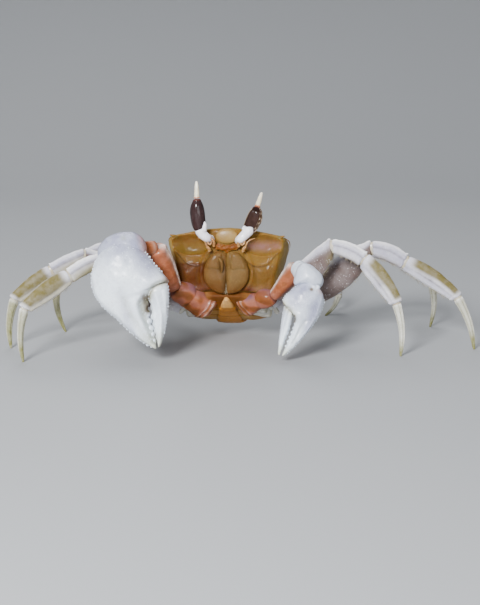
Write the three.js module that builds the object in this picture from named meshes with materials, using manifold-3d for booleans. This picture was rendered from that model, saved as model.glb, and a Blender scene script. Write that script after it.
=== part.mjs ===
// A ghost crab at life size, standing on eight leg tips with both claws hanging.
//
// Millimetres, +Z up. The crab faces -Y, its left side is +X, and the floor is
// z = 0. The origin is the middle of the floor area under the whole animal.

import * as THREE from 'three';
import { mergeVertices } from 'three/addons/utils/BufferGeometryUtils.js';
import Module from 'manifold-3d';

const wasm = await Module();
wasm.setup();

// ---------------------------------------------------------------- dimensions

const GAP = 0.3; // clearance kept between two shell pieces that touch
const FINE = 0.02; // step along a curve, as a share of its length, to find its direction
const LIMB_SIDES = 8; // corners round a leg or arm section
const MITRE_REACH = 0.36; // share of a limb piece that bends towards its end plane
const TIP_FLAT = 1.0; // width of the flat that a leg tip stands on

// Middle of the floor area under the animal, measured from the mid-line of
// the body and the middle of the shield.
const OUTLINE_CENTRE = { x: 5.25, y: 0.96 };

// The body's own frame: the shield level, its middle at the origin. It is held
// nose up at this pitch, with its middle this far above the floor.
const BODY_PITCH = THREE.MathUtils.degToRad(23.5);
const BODY_HEIGHT = 22;

// Each list runs from the front of the body to its back.
const CARAPACE = {
  front: -15.6,
  back: 17.5,
  squareness: 14,
  halfWidths: [19.3, 20.9, 20.6, 18.2, 13.6],
  crown: [12.6, 13.7, 13.4, 11.2, 5.4],
  arch: [2.7, 3.4, 4.0, 4.4, 3.6],
  belly: [-8.6, -7.6, -6.8, -5.0, -2.4],
  taper: [0.2, 0.2, 0.2, 0.22, 0.24],
  lean: 0.27, // how far the face slopes back for each mm below the brow
  brow: 9, // height at which the face meets the shield
  muzzle: 1.5, // how far the middle of the face stands forward
  corner: 1.4, // how far the outer corners of the eye sockets point forward
  steps: [12, 8, 6], // facets across, along and up
};
const THORAX = {
  front: -13.4,
  back: 16.4,
  squareness: 6,
  halfWidths: [9.0, 13.0, 14.2, 12.8, 8.6],
  crown: [-9.4, -8.6, -7.9, -6.6, -4.2],
  arch: [0, 0, 0, 0, 0],
  belly: [-10.8, -12.6, -13.6, -14.0, -12.6],
  taper: [0.3, 0.2, 0.14, 0.12, 0.14],
  lean: 0,
  brow: 0,
  muzzle: 0,
  corner: 0,
  steps: [8, 7, 2],
};
const MUZZLE_WIDTH = 7; // distance from the mid-line over which the muzzle fades
const CORNER_START = 0.8; // share of the half width beyond which a corner rises
const CORNER_SPREAD = 0.4; // how far a corner points outwards for each mm forward
const SIDE_CURVE = 1.5; // how late the side walls draw in below the brow
const SOCKET = { x: 12.6, y: -18.2, z: 4.4, radii: [7.2, 4.4, 4.3] };

// Stubs on the thorax that carry the limbs, as shares of the coxa's own place
// and of the limb's greatest height.
const STUB = { inner: 0.55, innerBack: 0.9, width: 0.42, extra: 0.8 };

// The abdomen lies folded under the thorax: [y, z] along its middle.
const ABDOMEN = {
  line: [
    [-10.4, -10.2], [-5.4, -12.4], [3, -13.5], [10.6, -13.8],
    [15.6, -12.2], [18.0, -6.6], [18.3, -0.8],
  ],
  widths: [2.0, 5.4, 7.4, 8.8, 11.0, 12.6, 12.0],
  thickness: 2.0,
  steps: 10,
};

// Mouth cover: two domed flaps that meet on the mid-line. Shares run upwards.
const MOUTH_FLAP = {
  top: 4.2,
  bottom: -7.8,
  width: 7.2,
  thickness: 2.6,
  y: -15.4,
  lean: 0.28, // how far a flap slopes back for each mm below its top
  split: 0.25, // half of the slit between the two flaps
  widthShares: [0.62, 0.86, 1.0, 1.0, 0.82, 0.4],
  depthShares: [0.7, 1, 1, 1, 0.9, 0.6],
  steps: 6,
};

// Feelers folded between the eye sockets and the mouth: the path is in loop
// sizes from the feeler's middle, outwards, back and up.
const FEELER = {
  x: 4.9,
  y: -17.5,
  z: 4.6,
  loop: 1.5,
  path: [[0.6, 1.5, -1.2], [0, -0.6, -0.4], [-0.6, -1.2, 0.6], [-0.1, -1.0, 1.3], [0.7, -0.6, 0.8]],
  thickness: 0.9,
  thicker: 1.5, // at the root
  thinner: 0.8, // at the end
  steps: 6,
};

// Eyes: the stalk leaves the socket, the glossy cornea wraps it, and a horn
// stands on the cornea. Points are in the standing frame.
const EYES = {
  right: {
    root: [-5.6, -14.0, 36.0],
    bend: [-8.2, -14.0, 39.2],
    top: [-10.1, -14.0, 50.3],
    tip: [-9.9, -13.4, 56.2],
  },
  left: {
    root: [4.6, -14.2, 36.0],
    bend: [7.0, -13.2, 39.1],
    top: [9.8, -8.2, 46.7],
    tip: [11.4, -5.2, 51.5],
  },
};
const EYE_PIECES = [
  { name: 'eyestalk', finish: 'ivory', widths: [2.8, 3.4, 3.8], steps: 3 },
  { name: 'cornea', finish: 'cornea', widths: [3.6, 4.6, 5.0, 4.9, 4.2, 2.0], steps: 7 },
  { name: 'eye_horn', finish: 'horn', widths: [1.9, 1.6, 1.0], steps: 3 },
];

// Walking legs, each in an upright plane of its own: coxa is where the leg
// leaves the body, in the body's frame and for the left side; the other pairs
// are [distance out from the coxa, height above the floor].
const LEG_NUMBERS = [2, 3, 4, 5];
const LEG_SIZES = {
  2: { coxa: [13.8, -3.0, -11.4], merus: 8.4, knee: 5.4, carpus: 5.2, propodus: 6.2, dactyl: 2.8, sag: 0.8 },
  3: { coxa: [15.2, 2.6, -11.2], merus: 11.4, knee: 5.0, carpus: 5.6, propodus: 5.8, dactyl: 2.9, sag: 1.9 },
  4: { coxa: [14.8, 8.0, -10.2], merus: 9.0, knee: 4.4, carpus: 5.0, propodus: 5.0, dactyl: 2.6, sag: 1.0 },
  5: { coxa: [12.0, 12.6, -8.6], merus: 6.0, knee: 3.4, carpus: 3.8, propodus: 3.6, dactyl: 2.2, sag: 0.4 },
};
const LEG_POSES = {
  left: {
    2: { heading: -20.6, knee: [23.2, 34.8], wrist: [34.2, 31.2], ankle: [45.7, 17.6], tip: 47.6 },
    3: { heading: -8.9, knee: [34.0, 33.0], wrist: [45.2, 28.7], ankle: [63.0, 17.4], tip: 69.1 },
    4: { heading: 16.5, knee: [33.3, 29.0], wrist: [46.0, 25.0], ankle: [58.8, 15.4], tip: 58.6 },
    5: { heading: 52.6, knee: [24.5, 20.0], wrist: [34.0, 17.0], ankle: [43.2, 6.8], tip: 34.9 },
  },
  right: {
    2: { heading: -146.8, knee: [32.1, 31.0], wrist: [43.4, 26.6], ankle: [59.0, 17.4], tip: 60.0 },
    3: { heading: -160.9, knee: [34.9, 30.4], wrist: [45.9, 25.5], ankle: [58.8, 16.6], tip: 60.5 },
    4: { heading: -179.6, knee: [27.0, 30.2], wrist: [36.2, 26.0], ankle: [46.9, 15.3], tip: 43.8 },
    5: { heading: 127.4, knee: [24.5, 20.0], wrist: [34.0, 17.0], ankle: [43.2, 6.8], tip: 34.9 },
  },
};

// Sections along a leg piece, as shares of its greatest height.
const LEG_PROFILES = {
  merus: { heights: [0.44, 0.62, 0.96, 1.0, 0.9], flatness: 0.46, steps: 6 },
  carpus: { heights: [0.82, 0.98, 1.0, 0.92], flatness: 0.62, steps: 3 },
  propodus: { heights: [0.84, 1.0, 1.0, 0.86, 0.64], flatness: 0.56, steps: 5 },
  dactyl: { heights: [1.0, 0.92, 0.72, 0.5], flatness: 0.72, steps: 6 },
};
const LEG_ARCH = { carpus: 0.9, propodus: 0.7, dactyl: 0.8 };

// Claws. root is where the palm meets the wrist, tip is the end of the fixed
// finger, facing looks out of the outer face. Outlines are [along, across]
// from the root towards the tip, with the moving finger on the + side.
const CLAWS = {
  major: {
    side: 'right',
    hand: 1,
    root: [-30.9, -30.5, 39.5],
    tip: [-20.1, -40.4, 5.3],
    facing: [-0.05, -0.96, 0.26],
    lower: [
      [2.2, -8.6], [4.6, -12.0], [9.0, -14.6], [14.0, -15.0], [19.0, -13.5],
      [24.5, -10.1], [29.5, -7.1], [33.8, -4.0], [37.1, -0.9],
    ],
    upper: [
      [1.6, 4.2], [5.0, 5.9], [9.7, 7.5], [13.6, 9.2], [16.4, 9.9],
      [20.6, 0.3], [28.5, -0.3], [33.5, -0.2], [37.2, -0.1],
    ],
    fingerOuter: [[17.6, 9.6], [22.0, 8.6], [27.5, 6.7], [32.6, 4.0], [36.9, 1.0]],
    fingerInner: [[21.5, 1.4], [24.5, 1.8], [28.5, 1.2], [33.0, 0.8], [37.0, 0.4]],
    palmBulge: [9.0, 12.4, 13.2, 12.6, 11.2, 8.4, 6.6, 4.6, 1.8],
    fingerBulge: [7.0, 7.0, 5.8, 4.2, 1.6],
    hip: [-11.2, -11.2, 15.6],
    elbow: [-17.4, -15.0, 19.8],
    cuff: [-23.0, -22.6, 35.0],
    arm: { heights: [4.6, 6.2, 7.4, 6.8], thick: [5.0, 6.4, 7.4, 6.6] },
    base: { heights: [9.0, 7.0], thick: [7.0, 6.0] },
    wrist: { along: 3.5, across: -2.6, out: -2.5, radii: [5.8, 7.7, 5.6], neck: [4.6, 8.4] },
  },
  minor: {
    side: 'left',
    hand: -1,
    root: [28.7, -29.4, 24.6],
    tip: [19.2, -35.8, 2.6],
    facing: [0.05, -0.96, 0.26],
    lower: [
      [0.6, -4.2], [3.4, -6.0], [6.4, -6.4], [9.2, -6.2], [12.4, -5.6],
      [15.7, -4.7], [19.0, -3.6], [22.0, -2.4], [24.8, -0.9],
    ],
    upper: [
      [0.6, 3.4], [3.0, 4.6], [5.4, 5.2], [7.4, 5.4], [9.2, 5.2],
      [11.6, 0.2], [16.0, -0.4], [20.5, -0.4], [24.8, -0.3],
    ],
    fingerOuter: [[10.0, 5.1], [13.8, 4.4], [18.0, 3.2], [22.0, 2.0], [24.9, 0.9]],
    fingerInner: [[12.3, 0.9], [14.5, 0.9], [18.0, 0.6], [22.0, 0.4], [24.9, 0.25]],
    palmBulge: [5.6, 7.2, 7.4, 6.8, 5.8, 4.4, 3.6, 2.6, 1.3],
    fingerBulge: [4.2, 3.9, 3.2, 2.4, 1.2],
    hip: [10.0, -11.2, 15.2],
    elbow: [16.2, -15.0, 17.6],
    cuff: [24.2, -21.6, 28.8],
    arm: { heights: [3.6, 4.4, 5.6, 5.8], thick: [4.2, 5.0, 5.8, 5.2] },
    base: { heights: [7.4, 5.4], thick: [6.6, 4.8] },
    wrist: { along: -2.0, across: 2.1, out: -0.6, radii: [4.4, 5.0, 4.4], neck: [5.0, 6.0] },
  },
};

const PLATE = { sides: 12, squareness: 2.1, palmSteps: 16, fingerSteps: 8 };

const FINISH = {
  shield: { color: 0xb8935c, roughness: 0.45 },
  underside: { color: 0xb9793f, roughness: 0.5 },
  flap: { color: 0xc9a06a, roughness: 0.45 },
  ivory: { color: 0xe9e2d2, roughness: 0.5 },
  cornea: { color: 0x2c1a16, roughness: 0.12 },
  horn: { color: 0xe8dcc0, roughness: 0.4 },
  claw: { color: 0xe6e9ee, roughness: 0.55 },
  arm: { color: 0xd88a5e, roughness: 0.5 },
  leg: { color: 0xdcd8d6, roughness: 0.55 },
  dactyl: { color: 0xd8cf9e, roughness: 0.55 },
};

// ---------------------------------------------------------------- curves

// A smooth value through equally spaced ones, for t from 0 to 1.
function along(values, t) {
  const spans = values.length - 1;
  const place = Math.min(Math.max(t, 0), 1) * spans;
  const index = Math.min(Math.floor(place), spans - 1);
  const f = place - index;
  const value = (k) => values[Math.min(Math.max(k, 0), spans)];
  const before = value(index - 1);
  const start = value(index);
  const end = value(index + 1);
  const after = value(index + 2);
  const slope = end - before;
  const bend = 2 * before - 5 * start + 4 * end - after;
  const twist = 3 * (start - end) + after - before;
  return start + 0.5 * f * (slope + f * (bend + f * twist));
}

// A smooth point through equally spaced ones of any dimension.
function pointAlong(points, t) {
  return points[0].map((_, axis) => along(points.map((point) => point[axis]), t));
}

function signedPower(value, power) {
  return Math.sign(value) * Math.pow(Math.abs(value), power);
}

// ---------------------------------------------------------------- solids

// Makes a mesh whose faces point out, from shared corners and triangles.
function closedGeometry(corners, triangles) {
  let volume = 0;
  for (const [i, j, k] of triangles) {
    volume += corners[i].dot(new THREE.Vector3().crossVectors(corners[j], corners[k]));
  }
  const outward = volume > 0 ? triangles : triangles.map(([i, j, k]) => [i, k, j]);
  const geometry = new THREE.BufferGeometry();
  const numbers = corners.flatMap((corner) => corner.toArray());
  geometry.setAttribute('position', new THREE.Float32BufferAttribute(numbers, 3));
  geometry.setIndex(outward.flat());
  return geometry;
}

// Joins rings of equal length into one closed body with flat ends.
function loft(rings) {
  const corners = rings.flat();
  const sides = rings[0].length;
  const triangles = [];
  for (let row = 0; row + 1 < rings.length; row += 1) {
    for (let side = 0; side < sides; side += 1) {
      const a = row * sides + side;
      const b = row * sides + ((side + 1) % sides);
      triangles.push([a, b, b + sides], [a, b + sides, a + sides]);
    }
  }
  for (const [row, flip] of [[0, true], [rings.length - 1, false]]) {
    const middle = corners.length;
    const centre = new THREE.Vector3();
    rings[row].forEach((point) => centre.addScaledVector(point, 1 / sides));
    corners.push(centre);
    for (let side = 0; side < sides; side += 1) {
      const a = row * sides + side;
      const b = row * sides + ((side + 1) % sides);
      triangles.push(flip ? [middle, b, a] : [middle, a, b]);
    }
  }
  return closedGeometry(corners, triangles);
}

function toSolid(geometry, matrix = new THREE.Matrix4()) {
  const bare = geometry.clone().applyMatrix4(matrix);
  bare.deleteAttribute('normal');
  bare.deleteAttribute('uv');
  const merged = mergeVertices(bare, 1e-4);
  return new wasm.Manifold(new wasm.Mesh({
    numProp: 3,
    vertProperties: new Float32Array(merged.attributes.position.array),
    triVerts: new Uint32Array(merged.index.array),
  }));
}

function toGeometry(solid) {
  const mesh = solid.getMesh();
  const geometry = new THREE.BufferGeometry();
  geometry.setAttribute('position', new THREE.BufferAttribute(new Float32Array(mesh.vertProperties), 3));
  geometry.setIndex(new THREE.BufferAttribute(new Uint32Array(mesh.triVerts), 1));
  return geometry;
}

// A named piece. shape(grow) gives its geometry, thicker by grow all round,
// so that a neighbour can be cut back to leave the gap.
function piece(name, finish, shape, parent) {
  const material = new THREE.MeshStandardMaterial({ ...FINISH[finish], metalness: 0 });
  const mesh = new THREE.Mesh(shape(0), material);
  mesh.name = name;
  mesh.userData.grown = shape(GAP);
  parent.add(mesh);
  return mesh;
}

// Cuts the grown form of each neighbour out of a piece.
function cutBack(mesh, neighbours) {
  mesh.updateWorldMatrix(true, false);
  const toLocal = mesh.matrixWorld.clone().invert();
  let solid = toSolid(mesh.geometry);
  for (const neighbour of neighbours) {
    neighbour.updateWorldMatrix(true, false);
    const place = toLocal.clone().multiply(neighbour.matrixWorld);
    solid = solid.subtract(toSolid(neighbour.userData.grown, place));
  }
  mesh.geometry = toGeometry(solid);
}

// Adds plain shapes, given in the mesh's own frame, to a piece.
function joinTo(mesh, shapes) {
  let solid = toSolid(mesh.geometry);
  for (const shape of shapes) {
    solid = solid.add(toSolid(shape));
  }
  mesh.geometry = toGeometry(solid);
}

// ---------------------------------------------------------------- body shells

// A rounded box whose width, top and bottom follow lists along its length.
function shell(shape, grow) {
  const corners = [];
  const triangles = [];
  const index = new Map();
  const place = (a, b, c) => {
    const key = [a, b, c].map((v) => v.toFixed(5)).join();
    if (!index.has(key)) {
      index.set(key, corners.length);
      corners.push(shellPoint(shape, a, b, c, grow));
    }
    return index.get(key);
  };
  for (let axis = 0; axis < 3; axis += 1) {
    const second = (axis + 1) % 3;
    const third = (axis + 2) % 3;
    for (const end of [-1, 1]) {
      for (let i = 0; i < shape.steps[second]; i += 1) {
        for (let j = 0; j < shape.steps[third]; j += 1) {
          const quad = [[i, j], [i + 1, j], [i + 1, j + 1], [i, j + 1]].map(([p, q]) => {
            const at = [0, 0, 0];
            at[axis] = end;
            at[second] = (2 * p) / shape.steps[second] - 1;
            at[third] = (2 * q) / shape.steps[third] - 1;
            return place(...at);
          });
          const [p, q, r, s] = end > 0 ? quad : quad.reverse();
          triangles.push([p, q, r], [p, r, s]);
        }
      }
    }
  }
  return closedGeometry(corners, triangles);
}

function shellPoint(shape, a, b, c, grow) {
  const power = shape.squareness;
  const round = Math.pow(Math.abs(a) ** power + Math.abs(b) ** power + Math.abs(c) ** power, -1 / power);
  const across = a * round;
  const back = (b * round + 1) / 2;
  const rise = (c * round + 1) / 2;
  const fall = 1 - rise;
  const halfWidth = along(shape.halfWidths, back) * (1 - along(shape.taper, back) * fall ** SIDE_CURVE);
  const x = across * (halfWidth + grow);
  const top = along(shape.crown, back) - along(shape.arch, back) * across * across + grow;
  const bottom = along(shape.belly, back) - grow;
  const z = bottom + (top - bottom) * rise;
  const face = Math.max(0, 1 - 2 * back) ** 2;
  const lean = shape.lean * (shape.brow - z);
  const muzzle = shape.muzzle * Math.exp(-((x / MUZZLE_WIDTH) ** 2));
  const outer = Math.max(0, (Math.abs(across) - CORNER_START) / (1 - CORNER_START));
  const corner = shape.corner * outer * rise * face;
  const plain = THREE.MathUtils.lerp(shape.front - grow, shape.back + grow, back);
  const y = plain + face * (lean - muzzle) - corner;
  return new THREE.Vector3(x + CORNER_SPREAD * Math.sign(across) * corner, y, z);
}

// A flattened strip along a line in the mid-plane, for the folded abdomen.
function abdomen(grow) {
  const rings = [];
  const { steps } = ABDOMEN;
  for (let step = 0; step <= steps; step += 1) {
    const t = step / steps;
    const [y, z] = pointAlong(ABDOMEN.line, t);
    const [y1, z1] = pointAlong(ABDOMEN.line, t + FINE);
    const [y0, z0] = pointAlong(ABDOMEN.line, t - FINE);
    const forward = new THREE.Vector3(0, y1 - y0, z1 - z0).normalize();
    const out = new THREE.Vector3(0, forward.z, -forward.y);
    const end = (step === steps ? grow : 0) - (step === 0 ? grow : 0);
    const centre = new THREE.Vector3(0, y, z).addScaledVector(forward, end);
    const halfWidth = along(ABDOMEN.widths, t) / 2 + grow;
    const halfThick = ABDOMEN.thickness / 2 + grow;
    rings.push(sectionRing(centre, new THREE.Vector3(1, 0, 0), out, halfWidth, halfThick, 8, 2.6));
  }
  return loft(rings);
}

// Corners of a rounded section round a centre, in the plane of two axes.
function sectionRing(centre, widthAxis, depthAxis, halfWidth, halfDepth, sides, squareness) {
  const ring = [];
  for (let side = 0; side < sides; side += 1) {
    const angle = (2 * Math.PI * side) / sides;
    const w = signedPower(Math.cos(angle), 2 / squareness) * halfWidth;
    const d = signedPower(Math.sin(angle), 2 / squareness) * halfDepth;
    ring.push(centre.clone().addScaledVector(widthAxis, w).addScaledVector(depthAxis, d));
  }
  return ring;
}

// One flap of the mouth cover: a domed plate against the sloping face.
function mouthFlap(side, grow) {
  const { top, bottom, width, thickness, y, lean, split, steps } = MOUTH_FLAP;
  const rings = [];
  for (let step = 0; step <= steps; step += 1) {
    const t = step / steps;
    const z = THREE.MathUtils.lerp(bottom - grow, top + grow, t);
    const share = along(MOUTH_FLAP.widthShares, t);
    const halfWidth = (width * share) / 2 + grow;
    const halfDepth = (thickness * along(MOUTH_FLAP.depthShares, t)) / 2 + grow;
    const x = side * (split + (width * share) / 2);
    const centre = new THREE.Vector3(x, y + lean * (top - z), z);
    const out = new THREE.Vector3(0, -1, 0);
    rings.push(sectionRing(centre, new THREE.Vector3(1, 0, 0), out, halfWidth, halfDepth, 8, 2.8));
  }
  return loft(rings);
}

// A small feeler folded into a hook.
function feeler(side, grow) {
  const { x, y, z, loop, thickness, thicker, thinner, steps } = FEELER;
  const path = FEELER.path.map(([a, b, c]) => [side * (x + loop * a), y + loop * b, z + loop * c]);
  const rings = [];
  for (let step = 0; step <= steps; step += 1) {
    const t = step / steps;
    const centre = new THREE.Vector3(...pointAlong(path, t));
    const before = new THREE.Vector3(...pointAlong(path, t - FINE));
    const tangent = new THREE.Vector3(...pointAlong(path, t + FINE)).sub(before).normalize();
    const first = new THREE.Vector3(1, 0, 0).cross(tangent).normalize();
    const second = tangent.clone().cross(first);
    const radius = (thickness / 2) * THREE.MathUtils.lerp(thicker, thinner, t) + grow;
    rings.push(sectionRing(centre, first, second, radius, radius, 5, 2));
  }
  return loft(rings);
}

// ---------------------------------------------------------------- limbs

// The plane that halves the bend at a joint; both pieces end on it.
function mitre(before, joint, after) {
  const incoming = joint.clone().sub(before).normalize();
  const outgoing = after.clone().sub(joint).normalize();
  return incoming.add(outgoing).normalize();
}

// One piece of a limb from one joint to the next. The section is heights
// along "up" and thicknesses across it, and each end lies on its joint's plane.
function limbPiece(limb, grow) {
  const { from, to, up, heights, thick, sag = 0, steps, squareness = 2.5 } = limb;
  const axis = to.clone().sub(from);
  const length = axis.length();
  axis.normalize();
  const high = up.clone().addScaledVector(axis, -up.dot(axis)).normalize();
  const wide = axis.clone().cross(high);
  const ends = [
    { point: from, normal: limb.fromPlane ?? axis, shift: GAP / 2 - grow },
    { point: to, normal: limb.toPlane ?? axis, shift: grow - GAP / 2 },
  ];
  const rings = [];
  for (let step = 0; step <= steps; step += 1) {
    const t = step / steps;
    const centre = from.clone().addScaledVector(axis, length * t);
    centre.addScaledVector(high, -sag * Math.sin(Math.PI * t));
    const halfHigh = along(heights, t) / 2 + grow;
    const halfWide = along(thick, t) / 2 + grow;
    const ring = sectionRing(centre, high, wide, halfHigh, halfWide, LIMB_SIDES, squareness);
    const end = ends[t < 0.5 ? 0 : 1];
    const hold = Math.max(0, 1 - Math.min(t, 1 - t) / MITRE_REACH);
    for (const corner of ring) {
      const inEnd = corner.clone().addScaledVector(axis, t < 0.5 ? -length * t : length * (1 - t));
      const miss = end.point.clone().addScaledVector(end.normal, end.shift).sub(inEnd).dot(end.normal);
      corner.addScaledVector(axis, (hold * miss) / axis.dot(end.normal));
    }
    rings.push(ring);
  }
  return loft(rings);
}

// A leg's last piece, ending on a small level flat on the floor.
function dactylPiece(limb, grow) {
  const geometry = limbPiece(limb, grow);
  const corners = geometry.attributes.position;
  const last = limb.steps * LIMB_SIDES;
  const radius = TIP_FLAT / 2 + grow;
  for (let side = 0; side < LIMB_SIDES; side += 1) {
    const angle = (2 * Math.PI * side) / LIMB_SIDES;
    const x = limb.to.x + Math.cos(angle) * radius;
    corners.setXYZ(last + side, x, limb.to.y - Math.sin(angle) * radius, limb.to.z);
  }
  corners.setXYZ(corners.count - 1, limb.to.x, limb.to.y, limb.to.z);
  return geometry;
}

const model = new THREE.Group();
model.position.set(-OUTLINE_CENTRE.x, -OUTLINE_CENTRE.y, 0);
const body = new THREE.Group();
body.rotation.x = -BODY_PITCH;
body.position.z = BODY_HEIGHT;
model.add(body);

function bodyToStanding([x, y, z]) {
  const turn = new THREE.Euler(-BODY_PITCH, 0, 0);
  return new THREE.Vector3(x, y, z).applyEuler(turn).add(new THREE.Vector3(0, 0, BODY_HEIGHT));
}

// Four pieces of one walking leg, in a group turned to the leg's heading.
function walkingLeg(side, number) {
  const size = LEG_SIZES[number];
  const pose = LEG_POSES[side][number];
  const mirror = side === 'left' ? 1 : -1;
  const [coxaX, coxaY, coxaZ] = size.coxa;
  const start = bodyToStanding([mirror * coxaX, coxaY, coxaZ]);
  const leg = new THREE.Group();
  leg.position.copy(start);
  leg.rotation.z = THREE.MathUtils.degToRad(pose.heading);
  model.add(leg);

  const outer = [pose.knee, pose.wrist, pose.ankle, [pose.tip, 0]];
  const inPlane = ([reach, height]) => new THREE.Vector3(reach, 0, height - start.z);
  const joints = [new THREE.Vector3(), ...outer.map(inPlane)];
  const names = ['merus', 'carpus', 'propodus', 'dactyl'];
  const sags = [size.sag, -LEG_ARCH.carpus, -LEG_ARCH.propodus, -LEG_ARCH.dactyl];
  return names.map((name, i) => {
    const from = joints[i];
    const to = joints[i + 1];
    const direction = to.clone().sub(from).normalize();
    const profile = LEG_PROFILES[name];
    const heights = profile.heights.map((share) => share * size[name]);
    if (name === 'merus') {
      heights.push(size.knee);
    }
    const limb = {
      from,
      to,
      up: new THREE.Vector3(-direction.z, 0, direction.x),
      heights,
      thick: heights.map((height) => Math.max(height * profile.flatness, TIP_FLAT)),
      sag: sags[i],
      steps: profile.steps,
      fromPlane: i > 0 ? mitre(joints[i - 1], from, to) : undefined,
      toPlane: i < 3 ? mitre(from, to, joints[i + 2]) : undefined,
    };
    const shape = name === 'dactyl' ? dactylPiece : limbPiece;
    const finish = name === 'dactyl' ? 'dactyl' : 'leg';
    return piece(`leg_${side}_${number}_${name}`, finish, (grow) => shape(limb, grow), leg);
  });
}

// ---------------------------------------------------------------- claws

// A finger or palm between two outline edges, domed on both faces.
function clawPlate(claw, edges, bulges, steps, grow) {
  const root = new THREE.Vector3(...claw.root);
  const lengthwise = new THREE.Vector3(...claw.tip).sub(root).normalize();
  const out = new THREE.Vector3(...claw.facing);
  out.addScaledVector(lengthwise, -out.dot(lengthwise)).normalize();
  const across = out.clone().cross(lengthwise).multiplyScalar(claw.hand);
  const place = ([u, v]) => root.clone().addScaledVector(lengthwise, u).addScaledVector(across, v);
  const rings = [];
  for (let step = 0; step <= steps; step += 1) {
    const t = step / steps;
    const low = place(pointAlong(edges[0], t));
    const high = place(pointAlong(edges[1], t));
    const middle = low.clone().add(high).multiplyScalar(0.5);
    const end = (step === steps ? grow : 0) - (step === 0 ? grow : 0);
    middle.addScaledVector(lengthwise, end);
    const span = high.clone().sub(low);
    const halfSpan = span.length() / 2 + grow;
    const halfThick = along(bulges, t) / 2 + grow;
    const { sides, squareness } = PLATE;
    rings.push(sectionRing(middle, span.normalize(), out, halfSpan, halfThick, sides, squareness));
  }
  return loft(rings);
}

// The five pieces of one claw arm, from the body to the moving finger. The
// base is cut back where the first walking leg passes it. Returns the two
// pieces that the body makes room for.
function clawArm(name, nearLeg) {
  const claw = CLAWS[name];
  const hip = new THREE.Vector3(...claw.hip);
  const elbow = new THREE.Vector3(...claw.elbow);
  const cuff = new THREE.Vector3(...claw.cuff);
  const root = new THREE.Vector3(...claw.root);
  const lengthwise = new THREE.Vector3(...claw.tip).sub(root).normalize();
  const out = new THREE.Vector3(...claw.facing).normalize();
  const across = out.clone().cross(lengthwise).multiplyScalar(claw.hand);

  const palmShape = (grow) => (
    clawPlate(claw, [claw.lower, claw.upper], claw.palmBulge, PLATE.palmSteps, grow));
  const fingerShape = (grow) => (
    clawPlate(claw, [claw.fingerInner, claw.fingerOuter], claw.fingerBulge, PLATE.fingerSteps, grow));
  const armLimb = { from: elbow, to: cuff, up: across, ...claw.arm, steps: 6 };
  const baseLimb = { from: hip, to: elbow, up: across, ...claw.base, steps: 2 };
  const palm = piece(`claw_${name}_palm`, 'claw', palmShape, model);
  const finger = piece(`claw_${name}_finger`, 'claw', fingerShape, model);
  const arm = piece(`claw_${name}_arm`, 'arm', (grow) => limbPiece(armLimb, grow), model);
  const base = piece(`claw_${name}_base`, 'arm', (grow) => limbPiece(baseLimb, grow), model);
  const wrist = piece(`claw_${name}_wrist`, 'claw', (grow) => {
    const { along: u, across: v, out: w, radii, neck } = claw.wrist;
    const centre = root.clone().addScaledVector(lengthwise, u);
    centre.addScaledVector(across, v).addScaledVector(out, w);
    const third = out.clone().multiplyScalar(claw.hand);
    const basis = new THREE.Matrix4().makeBasis(lengthwise, across, third);
    const ball = new THREE.SphereGeometry(1, 12, 7);
    ball.scale(radii[0] + grow, radii[1] + grow, radii[2] + grow);
    ball.applyMatrix4(basis).translate(centre.x, centre.y, centre.z);
    const neckLimb = { from: cuff, to: centre, up: lengthwise, heights: neck, thick: neck, steps: 2 };
    return toGeometry(toSolid(ball).add(toSolid(limbPiece(neckLimb, grow))));
  }, model);
  cutBack(finger, [palm]);
  cutBack(wrist, [palm, arm]);
  cutBack(base, [arm, nearLeg]);
  return [base, arm];
}

// ---------------------------------------------------------------- eyes

// The stalk, cornea and horn of one eye. Returns the stalk, which the body
// makes room for.
function eye(side) {
  const { root, bend, top, tip } = EYES[side];
  const joints = [root, bend, top, tip].map((point) => new THREE.Vector3(...point));
  const up = new THREE.Vector3(1, 0, 0);
  const planes = [
    undefined,
    mitre(joints[0], joints[1], joints[2]),
    mitre(joints[1], joints[2], joints[3]),
    undefined,
  ];
  const [stalk] = EYE_PIECES.map(({ name, finish, widths, steps }, i) => {
    const limb = {
      from: joints[i],
      to: joints[i + 1],
      up,
      heights: widths,
      thick: widths,
      steps,
      squareness: 2,
      fromPlane: planes[i],
      toPlane: planes[i + 1],
    };
    return piece(`${name}_${side}`, finish, (grow) => limbPiece(limb, grow), model);
  });
  return stalk;
}

// ---------------------------------------------------------------- assembly

const carapace = piece('carapace', 'shield', (grow) => shell(CARAPACE, grow), body);
const thorax = piece('thorax', 'underside', (grow) => shell(THORAX, grow), body);
const tail = piece('abdomen', 'underside', abdomen, body);
const SIDES = [['left', 1], ['right', -1]];
const flaps = SIDES.map(([name, side]) => (
  piece(`maxilliped_${name}`, 'flap', (grow) => mouthFlap(side, grow), body)));
const feelers = SIDES.map(([name, side]) => (
  piece(`antennae_${name}`, 'flap', (grow) => feeler(side, grow), body)));

const leftLegs = LEG_NUMBERS.map((number) => walkingLeg('left', number));
const rightLegs = LEG_NUMBERS.map((number) => walkingLeg('right', number));
const meri = [...leftLegs, ...rightLegs].map(([merus]) => merus);
const arms = [...clawArm('major', rightLegs[0][0]), ...clawArm('minor', leftLegs[0][0])];
const stalks = ['left', 'right'].map(eye);

// Stubs that carry the legs and claw arms out of the thorax.
const stubs = [];
for (const mirror of [1, -1]) {
  for (const number of LEG_NUMBERS) {
    const [x, y, z] = LEG_SIZES[number].coxa;
    const from = new THREE.Vector3(mirror * x * STUB.inner, y * STUB.innerBack, z);
    const to = new THREE.Vector3(mirror * x, y, z);
    const width = LEG_SIZES[number].merus * STUB.width + STUB.extra;
    const widths = [width, width];
    const up = new THREE.Vector3(0, 0, 1);
    stubs.push(limbPiece({ from, to, up, heights: widths, thick: widths, steps: 1 }, 0));
  }
}
joinTo(thorax, stubs);

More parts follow.
